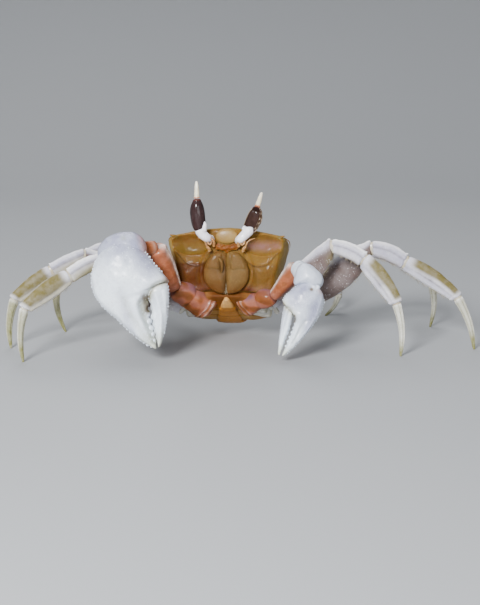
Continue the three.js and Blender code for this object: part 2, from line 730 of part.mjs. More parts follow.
for (const mirror of [1, -1]) {
  const ball = new THREE.SphereGeometry(1, 10, 8);
  ball.scale(...SOCKET.radii);
  ball.translate(mirror * SOCKET.x, SOCKET.y, SOCKET.z);
  carapace.geometry = toGeometry(toSolid(carapace.geometry).subtract(toSolid(ball)));
}
feelers.forEach((mesh) => cutBack(mesh, [...flaps, ...stalks]));
cutBack(carapace, [...flaps, ...feelers, ...arms, ...meri, ...stalks]);
cutBack(thorax, [tail, ...flaps, ...arms, ...meri]);
cutBack(tail, [carapace]);

export default model;
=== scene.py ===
"""A ghost crab at life size, finished as a still museum model.

Shapes are worked out in millimetres. They are metres once they are meshes. The crab faces -Y, its
left side is +X, and the floor is z = 0. Most lengths are in one of two frames: the body's own
frame, with the shield level, and the standing frame, in which the body is held nose up.
"""

import logging
import math
from dataclasses import dataclass, field, replace
from enum import Enum
from typing import Callable

import bpy
import numpy as np
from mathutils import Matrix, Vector


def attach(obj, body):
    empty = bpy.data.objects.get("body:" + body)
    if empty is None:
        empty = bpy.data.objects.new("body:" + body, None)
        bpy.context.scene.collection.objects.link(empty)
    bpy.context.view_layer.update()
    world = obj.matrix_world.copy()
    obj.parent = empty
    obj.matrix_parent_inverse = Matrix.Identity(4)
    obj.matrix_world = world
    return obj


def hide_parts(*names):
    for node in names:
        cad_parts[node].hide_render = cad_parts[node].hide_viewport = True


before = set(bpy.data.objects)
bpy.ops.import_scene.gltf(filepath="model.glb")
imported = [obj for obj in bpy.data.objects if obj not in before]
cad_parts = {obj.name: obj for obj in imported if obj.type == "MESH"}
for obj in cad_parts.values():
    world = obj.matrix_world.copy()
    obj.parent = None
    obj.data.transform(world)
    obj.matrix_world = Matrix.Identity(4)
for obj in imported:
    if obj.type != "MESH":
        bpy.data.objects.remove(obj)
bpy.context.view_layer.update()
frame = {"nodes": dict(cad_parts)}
LOG = logging.getLogger("ghost_crab")

MM = 0.001
BODY = "root"

SEED = 20
LUMP_WAVES = 9
LUMP_SPREAD = (0.8, 1.9)
LINE_STEPS = 6
GRAIN_RISES = (-58.0, -20.0, 20.0, 58.0)
ASKEW = np.array([0.31, 0.87, 0.38])
UP = np.array([0.0, 0.0, 1.0])

OUTLINE_CENTRE = np.array([5.25, 0.96, 0.0])
BODY_PITCH = math.radians(23.5)
BODY_HEIGHT = 22.0
JOINT_GAP = 0.3


class Side(Enum):
    """The crab's own left and right."""

    LEFT = 1
    RIGHT = -1

    @property
    def word(self) -> str:
        """Gives the side's name as the nodes spell it."""
        return self.name.lower()


class Slot(Enum):
    """The record's material slots."""

    SHIELD = "shield"
    UNDERSIDE = "underside"
    TAIL = "tail_plates"
    MOUTH = "mouth_flap"
    FEELER = "feeler"
    LEG = "leg_shell"
    TIP = "leg_tip"
    CLAW = "claw_shell"
    ARM = "claw_arm"
    STALK = "eyestalk"
    CORNEA = "cornea"
    HORN = "eye_horn"


# ------------------------------------------------------------------ curves and fields


def curve(values: np.ndarray, t: np.ndarray) -> np.ndarray:
    """Reads a smooth curve through equally spaced values.

    Args:
        values: Numbers, or points in rows.
        t: Places along the curve, from 0 to 1.

    Returns:
        One number or point for each place.
    """
    v = np.asarray(values, float)
    t = np.asarray(t, float)
    spans = len(v) - 1
    place = np.clip(t, 0.0, 1.0) * spans
    index = np.minimum(place.astype(int), spans - 1)
    f = place - index
    if v.ndim > 1:
        f = f[..., None]
    before, start, end, after = (v[np.clip(index + k, 0, spans)] for k in (-1, 0, 1, 2))
    bend = 2 * before - 5 * start + 4 * end - after
    twist = 3 * (start - end) + after - before
    return start + 0.5 * f * (end - before + f * (bend + f * twist))


def smooth(low: float, high: float, x: np.ndarray) -> np.ndarray:
    """Rises smoothly from 0 at low to 1 at high, which may be the smaller or the larger."""
    f = np.clip((np.asarray(x, float) - low) / (high - low), 0.0, 1.0)
    return f * f * (3 - 2 * f)


def hump(x: np.ndarray, middle: float, width: float) -> np.ndarray:
    """Gives a bell of height 1 round a middle."""
    return np.exp(-(((np.asarray(x, float) - middle) / width) ** 2))


def rounded(x: np.ndarray) -> np.ndarray:
    """Rises like a quarter circle from 0 at 0 to 1 at 1, and stays there."""
    return np.sqrt(np.clip(1 - np.clip(1 - x, 0, 1) ** 2, 0, 1))


def signed_power(x: np.ndarray, power: float) -> np.ndarray:
    """Raises the size of x to a power and keeps its sign."""
    return np.sign(x) * np.abs(x) ** power


def line_distance(x: np.ndarray, y: np.ndarray, points: tuple) -> np.ndarray:
    """Measures how far places on a face are from a smooth line drawn on it.

    Args:
        x: First coordinate of each place.
        y: Second coordinate of each place.
        points: The line's own points, in order.

    Returns:
        The distance of each place, in the unit of the points.
    """
    path = curve(points, np.linspace(0, 1, LINE_STEPS * len(points)))
    nearest = np.full(np.shape(x), np.inf)
    for (ax, ay), (bx, by) in zip(path[:-1], path[1:]):
        along = ((x - ax) * (bx - ax) + (y - ay) * (by - ay)) / ((bx - ax) ** 2 + (by - ay) ** 2)
        along = np.clip(along, 0, 1)
        nearest = np.minimum(nearest, np.hypot(x - ax - along * (bx - ax), y - ay - along * (by - ay)))
    return nearest


@dataclass(frozen=True)
class Line:
    """A ridge, or with a negative height a groove, drawn on a face in millimetres."""

    points: tuple
    height: float
    width: float

    def lift(self, x: np.ndarray, y: np.ndarray) -> np.ndarray:
        """Gives the height that the line adds at each place of the face."""
        return self.height * hump(line_distance(x, y, self.points), 0.0, self.width)


@dataclass(frozen=True)
class Swell:
    """A smooth swelling, or with a negative height a hollow, on a face."""

    x: float
    y: float
    wide: float
    tall: float
    height: float

    def lift(self, x: np.ndarray, y: np.ndarray) -> np.ndarray:
        """Gives the height that the swelling adds at each place of the face."""
        return self.height * np.exp(-(((x - self.x) / self.wide) ** 2) - ((y - self.y) / self.tall) ** 2)


def lumps(points: np.ndarray, size: float, seed: int) -> np.ndarray:
    """Gives soft uneven values from -1 to 1 over points, as sums of crossed waves.

    Args:
        points: Points in rows, in millimetres.
        size: Usual distance between two lumps.
        seed: Chooses the pattern.

    Returns:
        One value for each point.
    """
    chance = np.random.default_rng(SEED + seed)
    total = np.zeros(points.shape[:-1])
    for _ in range(LUMP_WAVES):
        direction = chance.normal(size=3)
        direction *= 2 * math.pi / (size * chance.uniform(*LUMP_SPREAD) * np.linalg.norm(direction))
        total += np.sin(points @ direction + chance.uniform(0, 2 * math.pi))
    return total / math.sqrt(LUMP_WAVES)


def body_to_standing(points: np.ndarray) -> np.ndarray:
    """Turns points nose up and lifts them above the floor.

    Args:
        points: Points in rows, in the body's own frame.

    Returns:
        The points in the standing frame.
    """
    c, s = math.cos(BODY_PITCH), math.sin(BODY_PITCH)
    x, y, z = np.moveaxis(np.asarray(points, float), -1, 0)
    return np.stack([x, c * y + s * z, -s * y + c * z + BODY_HEIGHT], -1)


def unit(vector: np.ndarray) -> np.ndarray:
    """Scales vectors to length 1."""
    v = np.asarray(vector, float)
    return v / np.maximum(np.linalg.norm(v, axis=-1, keepdims=True), 1e-12)


def full_turn(count: int) -> np.ndarray:
    """Gives evenly spaced angles once round a circle."""
    return np.linspace(0, 2 * math.pi, count, endpoint=False)


# ------------------------------------------------------------------ meshes


@dataclass
class Surface:
    """A closed mesh in the standing frame, with masks that tell its finish where to change."""

    points: np.ndarray
    quads: np.ndarray
    triangles: np.ndarray
    masks: dict[str, np.ndarray] = field(default_factory=dict)

    def normals(self) -> np.ndarray:
        """Works out which way the surface faces.

        Returns:
            The outward direction at each point.
        """
        total = np.zeros_like(self.points)
        for faces in (self.quads, self.triangles):
            corners = self.points[faces]
            facing = np.cross(corners[:, -2] - corners[:, 0], corners[:, -1] - corners[:, -3])
            for numbers in faces.T:
                np.add.at(total, numbers, facing)
        return unit(total)

    def faced_out(self) -> "Surface":
        """Turns the faces round if they point inwards.

        Returns:
            The same surface.
        """
        volume = 0.0
        for faces in (self.quads, self.triangles):
            for k in range(1, faces.shape[1] - 1):
                a, b, c = (self.points[faces[:, i]] for i in (0, k, k + 1))
                volume += float(np.einsum("ij,ij->", a, np.cross(b, c)))
        if volume < 0:
            self.quads = self.quads[:, ::-1]
            self.triangles = self.triangles[:, ::-1]
        return self

    def pushed(self, amount: np.ndarray) -> "Surface":
        """Moves each point along its own normal by an amount in millimetres."""
        self.points = self.points + self.normals() * amount[:, None]
        return self

    def roughened(self, depth: float, size: float, seed: int) -> "Surface":
        """Moves the points in and out by soft lumps of a depth and a size in millimetres."""
        return self.pushed(depth * lumps(self.points, size, seed))

    def masked(self, **masks: np.ndarray) -> "Surface":
        """Adds masks.

        Args:
            **masks: For each mask one value for each point; it is kept from 0 to 1.

        Returns:
            The same surface.
        """
        for name, values in masks.items():
            self.masks[name] = np.clip(values, 0, 1)
        return self

    def ring_masked(self, **masks: np.ndarray) -> "Surface":
        """Adds masks to a surface made of rings.

        Args:
            **masks: For each mask one value for each ring point, in rows. The middle point of an
                end takes the mean of its ring.

        Returns:
            The same surface.
        """
        for name, rows in masks.items():
            self.masked(**{name: np.concatenate([rows.ravel(), [rows[0].mean(), rows[-1].mean()]])})
        return self

    def toned(self, **tones: float) -> "Surface":
        """Adds masks that have one value all over."""
        return self.masked(**{name: np.full(len(self.points), tone) for name, tone in tones.items()})


def joined(parts: list[Surface]) -> Surface:
    """Puts several closed surfaces into one mesh.

    Args:
        parts: The surfaces, in order.

    Returns:
        One surface with every mask that any part has.
    """
    names = {name for part in parts for name in part.masks}
    starts = np.cumsum([0] + [len(part.points) for part in parts])
    return Surface(
        np.concatenate([part.points for part in parts]),
        np.concatenate([part.quads + start for part, start in zip(parts, starts)]),
        np.concatenate([part.triangles + start for part, start in zip(parts, starts)]),
        {
            name: np.concatenate([part.masks.get(name, np.zeros(len(part.points))) for part in parts])
            for name in sorted(names)
        },
    )


def ring_quads(rows: int, cols: int) -> np.ndarray:
    """Gives the faces between neighbouring rings.

    Args:
        rows: How many rings there are.
        cols: Points in a ring.

    Returns:
        Four point numbers for each face, with the points numbered ring by ring.
    """
    row, col = np.meshgrid(np.arange(rows - 1), np.arange(cols), indexing="ij")
    a = (row * cols + col).ravel()
    b = (row * cols + (col + 1) % cols).ravel()
    return np.stack([a, b, b + cols, a + cols], -1)


def rings_surface(rings: np.ndarray) -> Surface:
    """Closes a stack of rings into a tube with flat ends.

    Args:
        rings: Points with the shape (rows, corners in a row, 3).

    Returns:
        The surface. Its first points are the rings' own, row by row.
    """
    rows, cols = rings.shape[:2]
    corner = np.arange(cols)
    following = (corner + 1) % cols
    last = (rows - 1) * cols
    triangles = np.concatenate([
        np.stack([np.full(cols, rows * cols), following, corner], -1),
        np.stack([np.full(cols, rows * cols + 1), last + corner, last + following], -1),
    ])
    points = np.concatenate([rings.reshape(-1, 3), [rings[0].mean(0), rings[-1].mean(0)]])
    return Surface(points, ring_quads(rows, cols), triangles).faced_out()


def section(angle: np.ndarray, squareness: float) -> tuple[np.ndarray, np.ndarray]:
    """Gives the two coordinates of a rounded section, from -1 to 1, at each angle."""
    power = 2 / squareness
    return signed_power(np.cos(angle), power), signed_power(np.sin(angle), power)


def tube(path: np.ndarray, radii: np.ndarray, sides: int = 10) -> Surface:
    """Makes a round tube along a path, with ends drawn in.

    Args:
        path: Points in rows.
        radii: The radius at each point of the path.
        sides: Corners round the tube.

    Returns:
        The closed tube.
    """
    tangent = unit(np.gradient(path, axis=0))
    first = unit(np.cross(tangent, ASKEW))
    second = np.cross(tangent, first)
    angle = full_turn(sides)[None, :, None]
    ring = np.cos(angle) * first[:, None] + np.sin(angle) * second[:, None]
    return rings_surface(path[:, None] + ring * np.asarray(radii)[:, None, None])


def beads(places: np.ndarray, radii: np.ndarray, sides: int = 8) -> Surface:
    """Sets a small round grain on each place.

    Args:
        places: Middles of the grains.
        radii: Their radii.
        sides: Corners round a grain.

    Returns:
        All the grains as one surface.
    """
    turn, rise = full_turn(sides), np.radians(GRAIN_RISES)[:, None]
    level, up = np.cos(rise), np.repeat(np.sin(rise), sides, 1)
    one = rings_surface(np.stack([level * np.cos(turn), level * np.sin(turn), up], -1))
    count, size = len(places), len(one.points)
    shift = (np.arange(count) * size)[:, None, None]
    points = places[:, None] + one.points[None] * np.asarray(radii)[:, None, None]
    return Surface(points.reshape(-1, 3), (one.quads[None] + shift).reshape(-1, 4),
                   (one.triangles[None] + shift).reshape(-1, 3))


def blob(middle: np.ndarray, axes: np.ndarray, radii: tuple, rows: int, cols: int,
         squareness: float = 2.0) -> Surface:
    """Makes an egg shape, or a rounded block if its squareness is above 2.

    Args:
        middle: Its middle.
        axes: Its three unit directions, in rows; the poles lie on the third.
        radii: Half its size along each direction.
        rows: Rings from pole to pole.
        cols: Corners in a ring.
        squareness: 2 for an egg.

    Returns:
        The closed egg.
    """
    near_pole = 0.985
    level, up = section(np.linspace(-near_pole, near_pole, rows)[:, None] * math.pi / 2, squareness)
    first, second = section(full_turn(cols), squareness)
    ring = np.stack([level * first, level * second, np.repeat(up, cols, 1)], -1)
    return rings_surface(np.asarray(middle) + (ring * np.asarray(radii)) @ np.asarray(axes))


def plate(outline: tuple, place: Callable, dome: float, thickness: float, rows: int, cols: int,
          middle: tuple | None = None) -> Surface:
    """Makes a thin plate with a domed front inside a closed outline.

    Args:
        outline: Points of the outline, in order, in the plate's own two coordinates.
        place: Turns the two coordinates and the height in front of the plate into points.
        dome: How far the middle of the plate stands forward.
        thickness: Thickness at the rim.
        rows: Rings from the middle to the rim.
        cols: Corners round the rim.
        middle: The dome's top, or None for the mean of the outline.

    Returns:
        The closed plate, with a mask named rim that is 1 along its edge.
    """
    spans = len(outline)
    rim = curve(outline + outline[:3], (1 + np.linspace(0, spans, cols, endpoint=False)) / (spans + 2))
    centre = np.mean(outline, axis=0) if middle is None else np.asarray(middle, float)
    front = np.sin(np.linspace(0.03, 1, rows) * math.pi / 2)
    back = np.array([0.98, 0.6, 0.1])
    flat = centre + np.concatenate([front, back])[:, None, None] * (rim - centre)
    high = np.concatenate([dome * np.sqrt(np.clip(1 - front**2, 0, 1)), np.full(len(back), -thickness)])
    surface = rings_surface(place(flat[..., 0], flat[..., 1], high[:, None] + np.zeros(cols)))
    edge = np.concatenate([smooth(0.9, 1.0, front), 0 * back])
    return surface.ring_masked(rim=edge[:, None] + np.zeros(cols))


def mesh_object(name: str, surface: Surface, finish: "Finish", slot: Slot,
                nodes: tuple[str, ...] = ()) -> bpy.types.Object:
    """Makes a Blender object from a surface, parents it to the body's empty and hides the nodes that it
    replaces.

    Args:
        name: The piece's name.
        surface: Its shape in the standing frame.
        finish: The finish that it wears.
        slot: The record's slot that it stands for; not used.
        nodes: The construction nodes that it replaces.

    Returns:
        The new object.
    """
    mesh = bpy.data.meshes.new(name)
    points = (surface.points - OUTLINE_CENTRE) * MM
    sizes = np.concatenate([np.full(len(surface.quads), 4), np.full(len(surface.triangles), 3)])
    corners = np.concatenate([surface.quads.ravel(), surface.triangles.ravel()]).astype(np.int32)
    mesh.vertices.add(len(points))
    mesh.vertices.foreach_set("co", points.astype(np.float32).ravel())
    mesh.loops.add(len(corners))
    mesh.loops.foreach_set("vertex_index", corners)
    mesh.polygons.add(len(sizes))
    mesh.polygons.foreach_set("loop_start", (np.cumsum(sizes) - sizes).astype(np.int32))
    mesh.polygons.foreach_set("use_smooth", np.ones(len(sizes), bool))
    mesh.update(calc_edges=True)
    for mask, values in surface.masks.items():
        layer = mesh.attributes.new(mask, "FLOAT", "POINT")
        layer.data.foreach_set("value", values.astype(np.float32))
    mesh.materials.append(finish.material())
    piece = bpy.data.objects.new(name, mesh)
    bpy.context.scene.collection.objects.link(piece)
    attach(piece, BODY)
    if nodes:
        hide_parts(*nodes)
    LOG.info("%s: %d faces", name, len(sizes))
    return piece


# ------------------------------------------------------------------ finishes

Colour = tuple[float, float, float]
Socket = bpy.types.NodeSocket

# Noise lies round 0.5. A colour, the gloss or a grain changes over its own band of it.
PATCH_BAND = (0.35, 0.65)
SPECK_BAND = (0.52, 0.72)
STAIN_BAND = (0.35, 0.6)
GLOSS_BAND = (0.3, 0.7)
GRAIN_BAND = (0.08, 0.45)


@dataclass(frozen=True)
class Stain:
    """A change of colour where a mask says so, broken up by noise. Some are stains; others are painted shade
    and painted highlights.

    An uneven stain leaves the share of its colour out where the noise is low.
    """

    mask: str
    colour: Colour
    strength: float = 1.0
    uneven: float = 0.35
    grain: float = 900.0


class Graph:
    """A material under construction: its node tree and the shader at its end."""

    def __init__(self, name: str) -> None:
        """Starts a material with nothing but its shader.

        Args:
            name: The material's name.
        """
        self.material = bpy.data.materials.new(name)
        self.material.use_nodes = True
        self.tree = self.material.node_tree
        self.shader = self.tree.nodes["Principled BSDF"]
        self.place = self.node("ShaderNodeTexCoord").outputs["Object"]

    def node(self, kind: str, **settings: object) -> bpy.types.Node:
        """Adds a node.

        Args:
            kind: The node's type.
            **settings: Its options.

        Returns:
            The node.
        """
        made = self.tree.nodes.new(kind)
        for key, value in settings.items():
            setattr(made, key, value)
        return made

    def link(self, source: Socket, target: Socket) -> None:
        """Joins two sockets."""
        self.tree.links.new(source, target)

    def noise(self, scale: float, detail: float = 3.0) -> Socket:
        """Adds noise over the surface.

        Args:
            scale: How many lumps there are in a metre.
            detail: How many finer noises are laid over it.

        Returns:
            The noise, round 0.5.
        """
        made = self.node("ShaderNodeTexNoise")
        self.link(self.place, made.inputs["Vector"])
        for socket, value in (("Scale", scale), ("Detail", detail), ("Roughness", 0.55)):
            made.inputs[socket].default_value = value
        return made.outputs["Fac"]

    def grains(self, scale: float) -> Socket:
        """Adds small round grains.

        Args:
            scale: How many grains there are in a metre.

        Returns:
            Their height, from 0 to 1.
        """
        made = self.node("ShaderNodeTexVoronoi", feature="F1")
        self.link(self.place, made.inputs["Vector"])
        made.inputs["Scale"].default_value = scale
        return self.spread(made.outputs["Distance"], *GRAIN_BAND, 1.0, 0.0)

    def spread(self, source: Socket, low: float, high: float, to_low: float = 0.0,
               to_high: float = 1.0) -> Socket:
        """Maps one range of values onto another.

        Args:
            source: The values.
            low: Where the first range starts.
            high: Where it ends.
            to_low: What its start becomes.
            to_high: What its end becomes.

        Returns:
            The mapped values.
        """
        made = self.node("ShaderNodeMapRange")
        self.link(source, made.inputs["Value"])
        for socket, value in zip(("From Min", "From Max", "To Min", "To Max"), (low, high, to_low, to_high)):
            made.inputs[socket].default_value = value
        return made.outputs["Result"]

    def product(self, first: Socket, second: Socket) -> Socket:
        """Multiplies two values.

        Args:
            first: One value.
            second: The other.

        Returns:
            The product, kept from 0 to 1.
        """
        made = self.node("ShaderNodeMath", operation="MULTIPLY", use_clamp=True)
        self.link(first, made.inputs[0])
        self.link(second, made.inputs[1])
        return made.outputs[0]

    def blend(self, amount: Socket, under: Socket | Colour, over: Colour) -> Socket:
        """Lays one colour over another.

        Args:
            amount: How much of the upper colour shows.
            under: The lower colour.
            over: The upper one.

        Returns:
            The blended colour.
        """
        made = self.node("ShaderNodeMix", data_type="RGBA")
        mix, lower, upper = made.inputs[0], made.inputs[6], made.inputs[7]
        self.link(amount, mix)
        if isinstance(under, tuple):
            lower.default_value = (*under, 1)
        else:
            self.link(under, lower)
        upper.default_value = (*over, 1)
        return made.outputs[2]

    def mask(self, name: str) -> Socket:
        """Reads one of the surface's own masks."""
        return self.node("ShaderNodeAttribute", attribute_name=name).outputs["Fac"]

    def raise_surface(self, height: Socket, depth: float, strength: float,
                      under: Socket | None = None) -> Socket:
        """Adds a fine bump.

        Args:
            height: The bump's height, from 0 to 1.
            depth: Its depth in metres.
            strength: How strongly it tilts the surface.
            under: Another bump that it lies on.

        Returns:
            The tilted normal.
        """
        made = self.node("ShaderNodeBump")
        made.inputs["Strength"].default_value = strength
        made.inputs["Distance"].default_value = depth
        self.link(height, made.inputs["Height"])
        if under is not None:
            self.link(under, made.inputs["Normal"])
        return made.outputs["Normal"]


@dataclass(frozen=True)
class Finish:
    """A shell's finish: its ground colours, stains, painted shade and highlights, grain and gloss.

    Scales count lumps in a metre; depths and reaches are in metres.
    """

    name: str
    base: Colour
    second: Colour
    stains: tuple[Stain, ...] = ()
    roughness: float = 0.45
    patch_scale: float = 140.0
    speck_scale: float = 1500.0
    speck: Colour | None = None
    speck_share: float = 0.5
    grain_scale: float = 2400.0
    grain_depth: float = 0.00006
    grain_strength: float = 0.35
    wrinkle_scale: float = 420.0
    wrinkle_strength: float = 0.15
    flesh: float = 0.2
    flesh_reach: float = 0.0012
    flesh_colour: Colour = (1.0, 0.5, 0.25)
    coat: float = 0.1
    coat_roughness: float = 0.25
    shine: float = 0.5
    gloss_change: float = 0.07

    def material(self) -> bpy.types.Material:
        """Gives the finish's material, making it the first time."""
        made = bpy.data.materials.get(self.name)
        return made if made is not None else self.build()

    def build(self) -> bpy.types.Material:
        """Makes the material.

        Returns:
            The new material.
        """
        graph = Graph(self.name)
        patches = graph.spread(graph.noise(self.patch_scale, 4.0), *PATCH_BAND)
        colour = graph.blend(patches, self.base, self.second)
        if self.speck is not None:
            specks = graph.spread(graph.noise(self.speck_scale, 2.0), *SPECK_BAND, 0.0, self.speck_share)
            colour = graph.blend(specks, colour, self.speck)
        for stain in self.stains:
            least = stain.strength * (1 - stain.uneven)
            broken = graph.spread(graph.noise(stain.grain), *STAIN_BAND, least, stain.strength)
            colour = graph.blend(graph.product(graph.mask(stain.mask), broken), colour, stain.colour)
        graph.link(colour, graph.shader.inputs["Base Color"])
        self.set_gloss(graph)
        fine = graph.raise_surface(graph.grains(self.grain_scale), self.grain_depth, self.grain_strength)
        coarse = graph.noise(self.wrinkle_scale, 4.0)
        normal = graph.raise_surface(coarse, self.grain_depth * 4, self.wrinkle_strength, fine)
        graph.link(normal, graph.shader.inputs["Normal"])
        return graph.material

    def set_gloss(self, graph: Graph) -> None:
        """Sets roughness, flesh under the surface and the clear coat.

        Args:
            graph: The material.
        """
        least, most = self.roughness - self.gloss_change, self.roughness + self.gloss_change
        rough = graph.spread(graph.noise(self.patch_scale * 3, 2.0), *GLOSS_BAND, least, most)
        graph.link(rough, graph.shader.inputs["Roughness"])
        settings = {
            "Subsurface Weight": self.flesh,
            "Subsurface Radius": self.flesh_colour,
            "Subsurface Scale": self.flesh_reach,
            "Coat Weight": self.coat,
            "Coat Roughness": self.coat_roughness,
            "Specular IOR Level": self.shine,
        }
        for socket, value in settings.items():
            graph.shader.inputs[socket].default_value = value


@dataclass(frozen=True)
class PlainFinish:
    """A smooth even finish for the studio floor."""

    name: str
    base: Colour
    roughness: float
    patch_scale: float = 3.0
    patch_tone: float = 0.97

    def material(self) -> bpy.types.Material:
        """Makes the material with a barely uneven tone.

        Returns:
            The new material.
        """
        graph = Graph(self.name)
        darker = tuple(self.patch_tone * value for value in self.base)
        tone = graph.blend(graph.spread(graph.noise(self.patch_scale), *GLOSS_BAND), self.base, darker)
        graph.link(tone, graph.shader.inputs["Base Color"])
        graph.shader.inputs["Roughness"].default_value = self.roughness
        return graph.material


BLACKISH = (0.022, 0.012, 0.007)

SHIELD = Finish(
    "tan shield", (0.176, 0.090, 0.015), (0.122, 0.064, 0.010),
    stains=(
        Stain("deep", (0.060, 0.0145, 0.0012), 0.98, 0.12, 300.0),
        Stain("olive", (0.090, 0.062, 0.008), 0.85, 0.3, 400.0),
        Stain("pale", (0.30, 0.20, 0.048), 0.9, 0.2, 700.0),
        # rose: a painted pink highlight in the left eye socket, and rose low on the face's outer sides
        Stain("rose", (0.19, 0.088, 0.080), 0.8, 0.4, 600.0),
        # dark: painted shade under the socket rims, beside the mouth ridge, in the cheek groove and along the
        # bottom front edge
        Stain("dark", BLACKISH, 0.85, 0.3, 900.0),
    ),
    roughness=0.55, patch_scale=170.0, speck=(0.095, 0.042, 0.005), speck_share=0.4, grain_scale=1500.0,
    grain_depth=0.00008, grain_strength=0.3, flesh=0.5, flesh_reach=0.003, flesh_colour=(1.0, 0.4, 0.12),
    coat=0.09, coat_roughness=0.18, shine=0.06,
)
UNDERSIDE = Finish(
    "amber underside", (0.33, 0.150, 0.024), (0.25, 0.100, 0.013),
    stains=(
        Stain("deep", (0.105, 0.029, 0.003), 0.95, 0.2, 400.0),
        Stain("pale", (0.52, 0.39, 0.18), 0.9, 0.2, 700.0),
        Stain("rose", (0.19, 0.066, 0.044), 0.85, 0.4, 500.0),
        # dark: the dark seams and tail joints, and painted shade on the front of the plates under the
        # shield's edge
        Stain("dark", BLACKISH, 0.85, 0.3, 900.0),
    ),
    roughness=0.5, speck=(0.13, 0.048, 0.006), speck_share=0.4, flesh=0.3, flesh_reach=0.0018, coat=0.03,
    coat_roughness=0.3, shine=0.05,
)
# A brighter, more orange copy of the underside finish: painted light on the tail, which lies in shadow under
# the body.
TAIL = replace(UNDERSIDE, name="orange tail", base=(0.46, 0.19, 0.030), second=(0.36, 0.135, 0.018))
MOUTH = Finish(
    "tan mouth flaps", (0.126, 0.072, 0.021), (0.092, 0.049, 0.013),
    stains=(
        Stain("rim", (0.15, 0.070, 0.012), 0.7, 0.3, 900.0),
        # deep: amber low on the flaps, at their outer edges and on the palp, and painted shade over the right
        # flap
        Stain("deep", (0.080, 0.027, 0.004), 0.9, 0.25, 600.0),
        Stain("rose", (0.19, 0.108, 0.040), 0.8, 0.4, 500.0),
        # dark: painted shade in the gap between the flaps and in the hollow round the palp
        Stain("dark", (0.034, 0.016, 0.005), 0.9, 0.2, 900.0),
    ),
    roughness=0.5, speck=(0.19, 0.115, 0.040), speck_share=0.35, grain_strength=0.2, flesh=0.3,
    flesh_reach=0.0014, flesh_colour=(1.0, 0.45, 0.18), coat=0.14, coat_roughness=0.16, shine=0.05,
)
FRONT = Finish(
    "pale front", (0.245, 0.152, 0.038), (0.19, 0.104, 0.021),
    stains=(Stain("rim", (0.20, 0.096, 0.014), 0.95, 0.1),),
    roughness=0.46, grain_scale=1500.0, flesh=0.25, shine=0.35,
)
EPISTOME = Finish(
    "orange mouth frame", (0.150, 0.046, 0.006), (0.105, 0.029, 0.003),
    stains=(Stain("rim", (0.26, 0.12, 0.02), 0.6),),
    roughness=0.5, flesh=0.25, coat=0.05, patch_scale=420.0, shine=0.1,
)
FEELER = Finish(
    "honey feelers", (0.36, 0.19, 0.065), (0.26, 0.115, 0.032), roughness=0.35, flesh=0.25, coat=0.3,
    grain_strength=0.1,
)
CLAW = Finish(
    "white claw", (0.755, 0.83, 0.885), (0.665, 0.735, 0.815),
    stains=(
        # lilac: painted shade in lilac, on the wrist dome, the inner face and parts of the palm
        Stain("lilac", (0.215, 0.218, 0.33), 0.9, 0.2, 300.0),
        Stain("olive", (0.42, 0.40, 0.19), 0.85, 0.3, 900.0),
        Stain("rose", (0.40, 0.135, 0.055), 0.9, 0.3, 900.0),
        # deep: the dark seam at the finger's base, and painted shade in the hollows at the top of the finger
        # gap
        Stain("deep", (0.10, 0.062, 0.018), 0.97, 0.15, 900.0),
        Stain("shade", (0.24, 0.26, 0.20), 0.9, 0.2, 500.0),
    ),
    roughness=0.4, patch_scale=120.0, speck=(0.56, 0.58, 0.66), speck_share=0.5, speck_scale=1100.0,
    grain_scale=1000.0, grain_depth=0.00012, grain_strength=0.5, wrinkle_strength=0.08, flesh=0.06,
    flesh_reach=0.0006, flesh_colour=(1.0, 0.9, 0.8), coat=0.25, coat_roughness=0.2,
)
ARM = Finish(
    "orange arm", (0.33, 0.100, 0.042), (0.24, 0.066, 0.023),
    stains=(
        Stain("pale", (0.66, 0.56, 0.50), 0.95, 0.35, 900.0),
        Stain("rose", (0.26, 0.100, 0.072), 0.9, 0.3, 400.0),
        Stain("amber", (0.13, 0.042, 0.006), 0.9, 0.3, 400.0),
        Stain("lilac", (0.13, 0.062, 0.082), 0.92, 0.3, 400.0),
        Stain("dark", (0.070, 0.018, 0.005), 0.85, 0.3, 700.0),
    ),
    roughness=0.45, speck=(0.42, 0.17, 0.085), speck_share=0.45, flesh=0.3, flesh_reach=0.0014, coat=0.32,
    coat_roughness=0.12, shine=0.08,
)
LEG = Finish(
    "lilac white leg", (0.70, 0.69, 0.71), (0.53, 0.52, 0.57),
    stains=(
        # lilac: painted shade on the legs' sides, heavier on the far legs
        Stain("lilac", (0.28, 0.275, 0.36), 0.85, 0.25, 300.0),
        # brown: on the lower sides, partly the shell's colour and partly painted shade
        Stain("brown", (0.076, 0.042, 0.030), 0.97, 0.08, 260.0),
        Stain("olive", (0.110, 0.087, 0.017), 0.98, 0.1, 500.0),
        Stain("cream", (0.40, 0.36, 0.20), 0.85, 0.3, 600.0),
        Stain("dark", (0.045, 0.030, 0.022), 0.85, 0.3, 800.0),
        Stain("pale", (0.80, 0.795, 0.78), 0.95, 0.25, 900.0),
    ),
    roughness=0.55, patch_scale=200.0, speck=(0.40, 0.385, 0.39), speck_share=0.45, speck_scale=1200.0,
    grain_scale=1500.0, grain_depth=0.0001, grain_strength=0.4, flesh=0.1, flesh_reach=0.0008,
    flesh_colour=(1.0, 0.8, 0.6), coat=0.06, coat_roughness=0.4, shine=0.15,
)
TIP = Finish(
    "cream leg tip", (0.62, 0.615, 0.56), (0.47, 0.465, 0.39),
    stains=(
        Stain("olive", (0.15, 0.145, 0.030), 0.95, 0.2, 700.0),
        Stain("groove", (0.26, 0.25, 0.17), 0.8, 0.3, 900.0),
        Stain("pale", (0.70, 0.69, 0.64), 0.9, 0.3, 900.0),
    ),
    roughness=0.42, speck=(0.24, 0.21, 0.11), speck_share=0.45, flesh=0.1, flesh_reach=0.0007,
    flesh_colour=(1.0, 0.85, 0.5), shine=0.2,
)
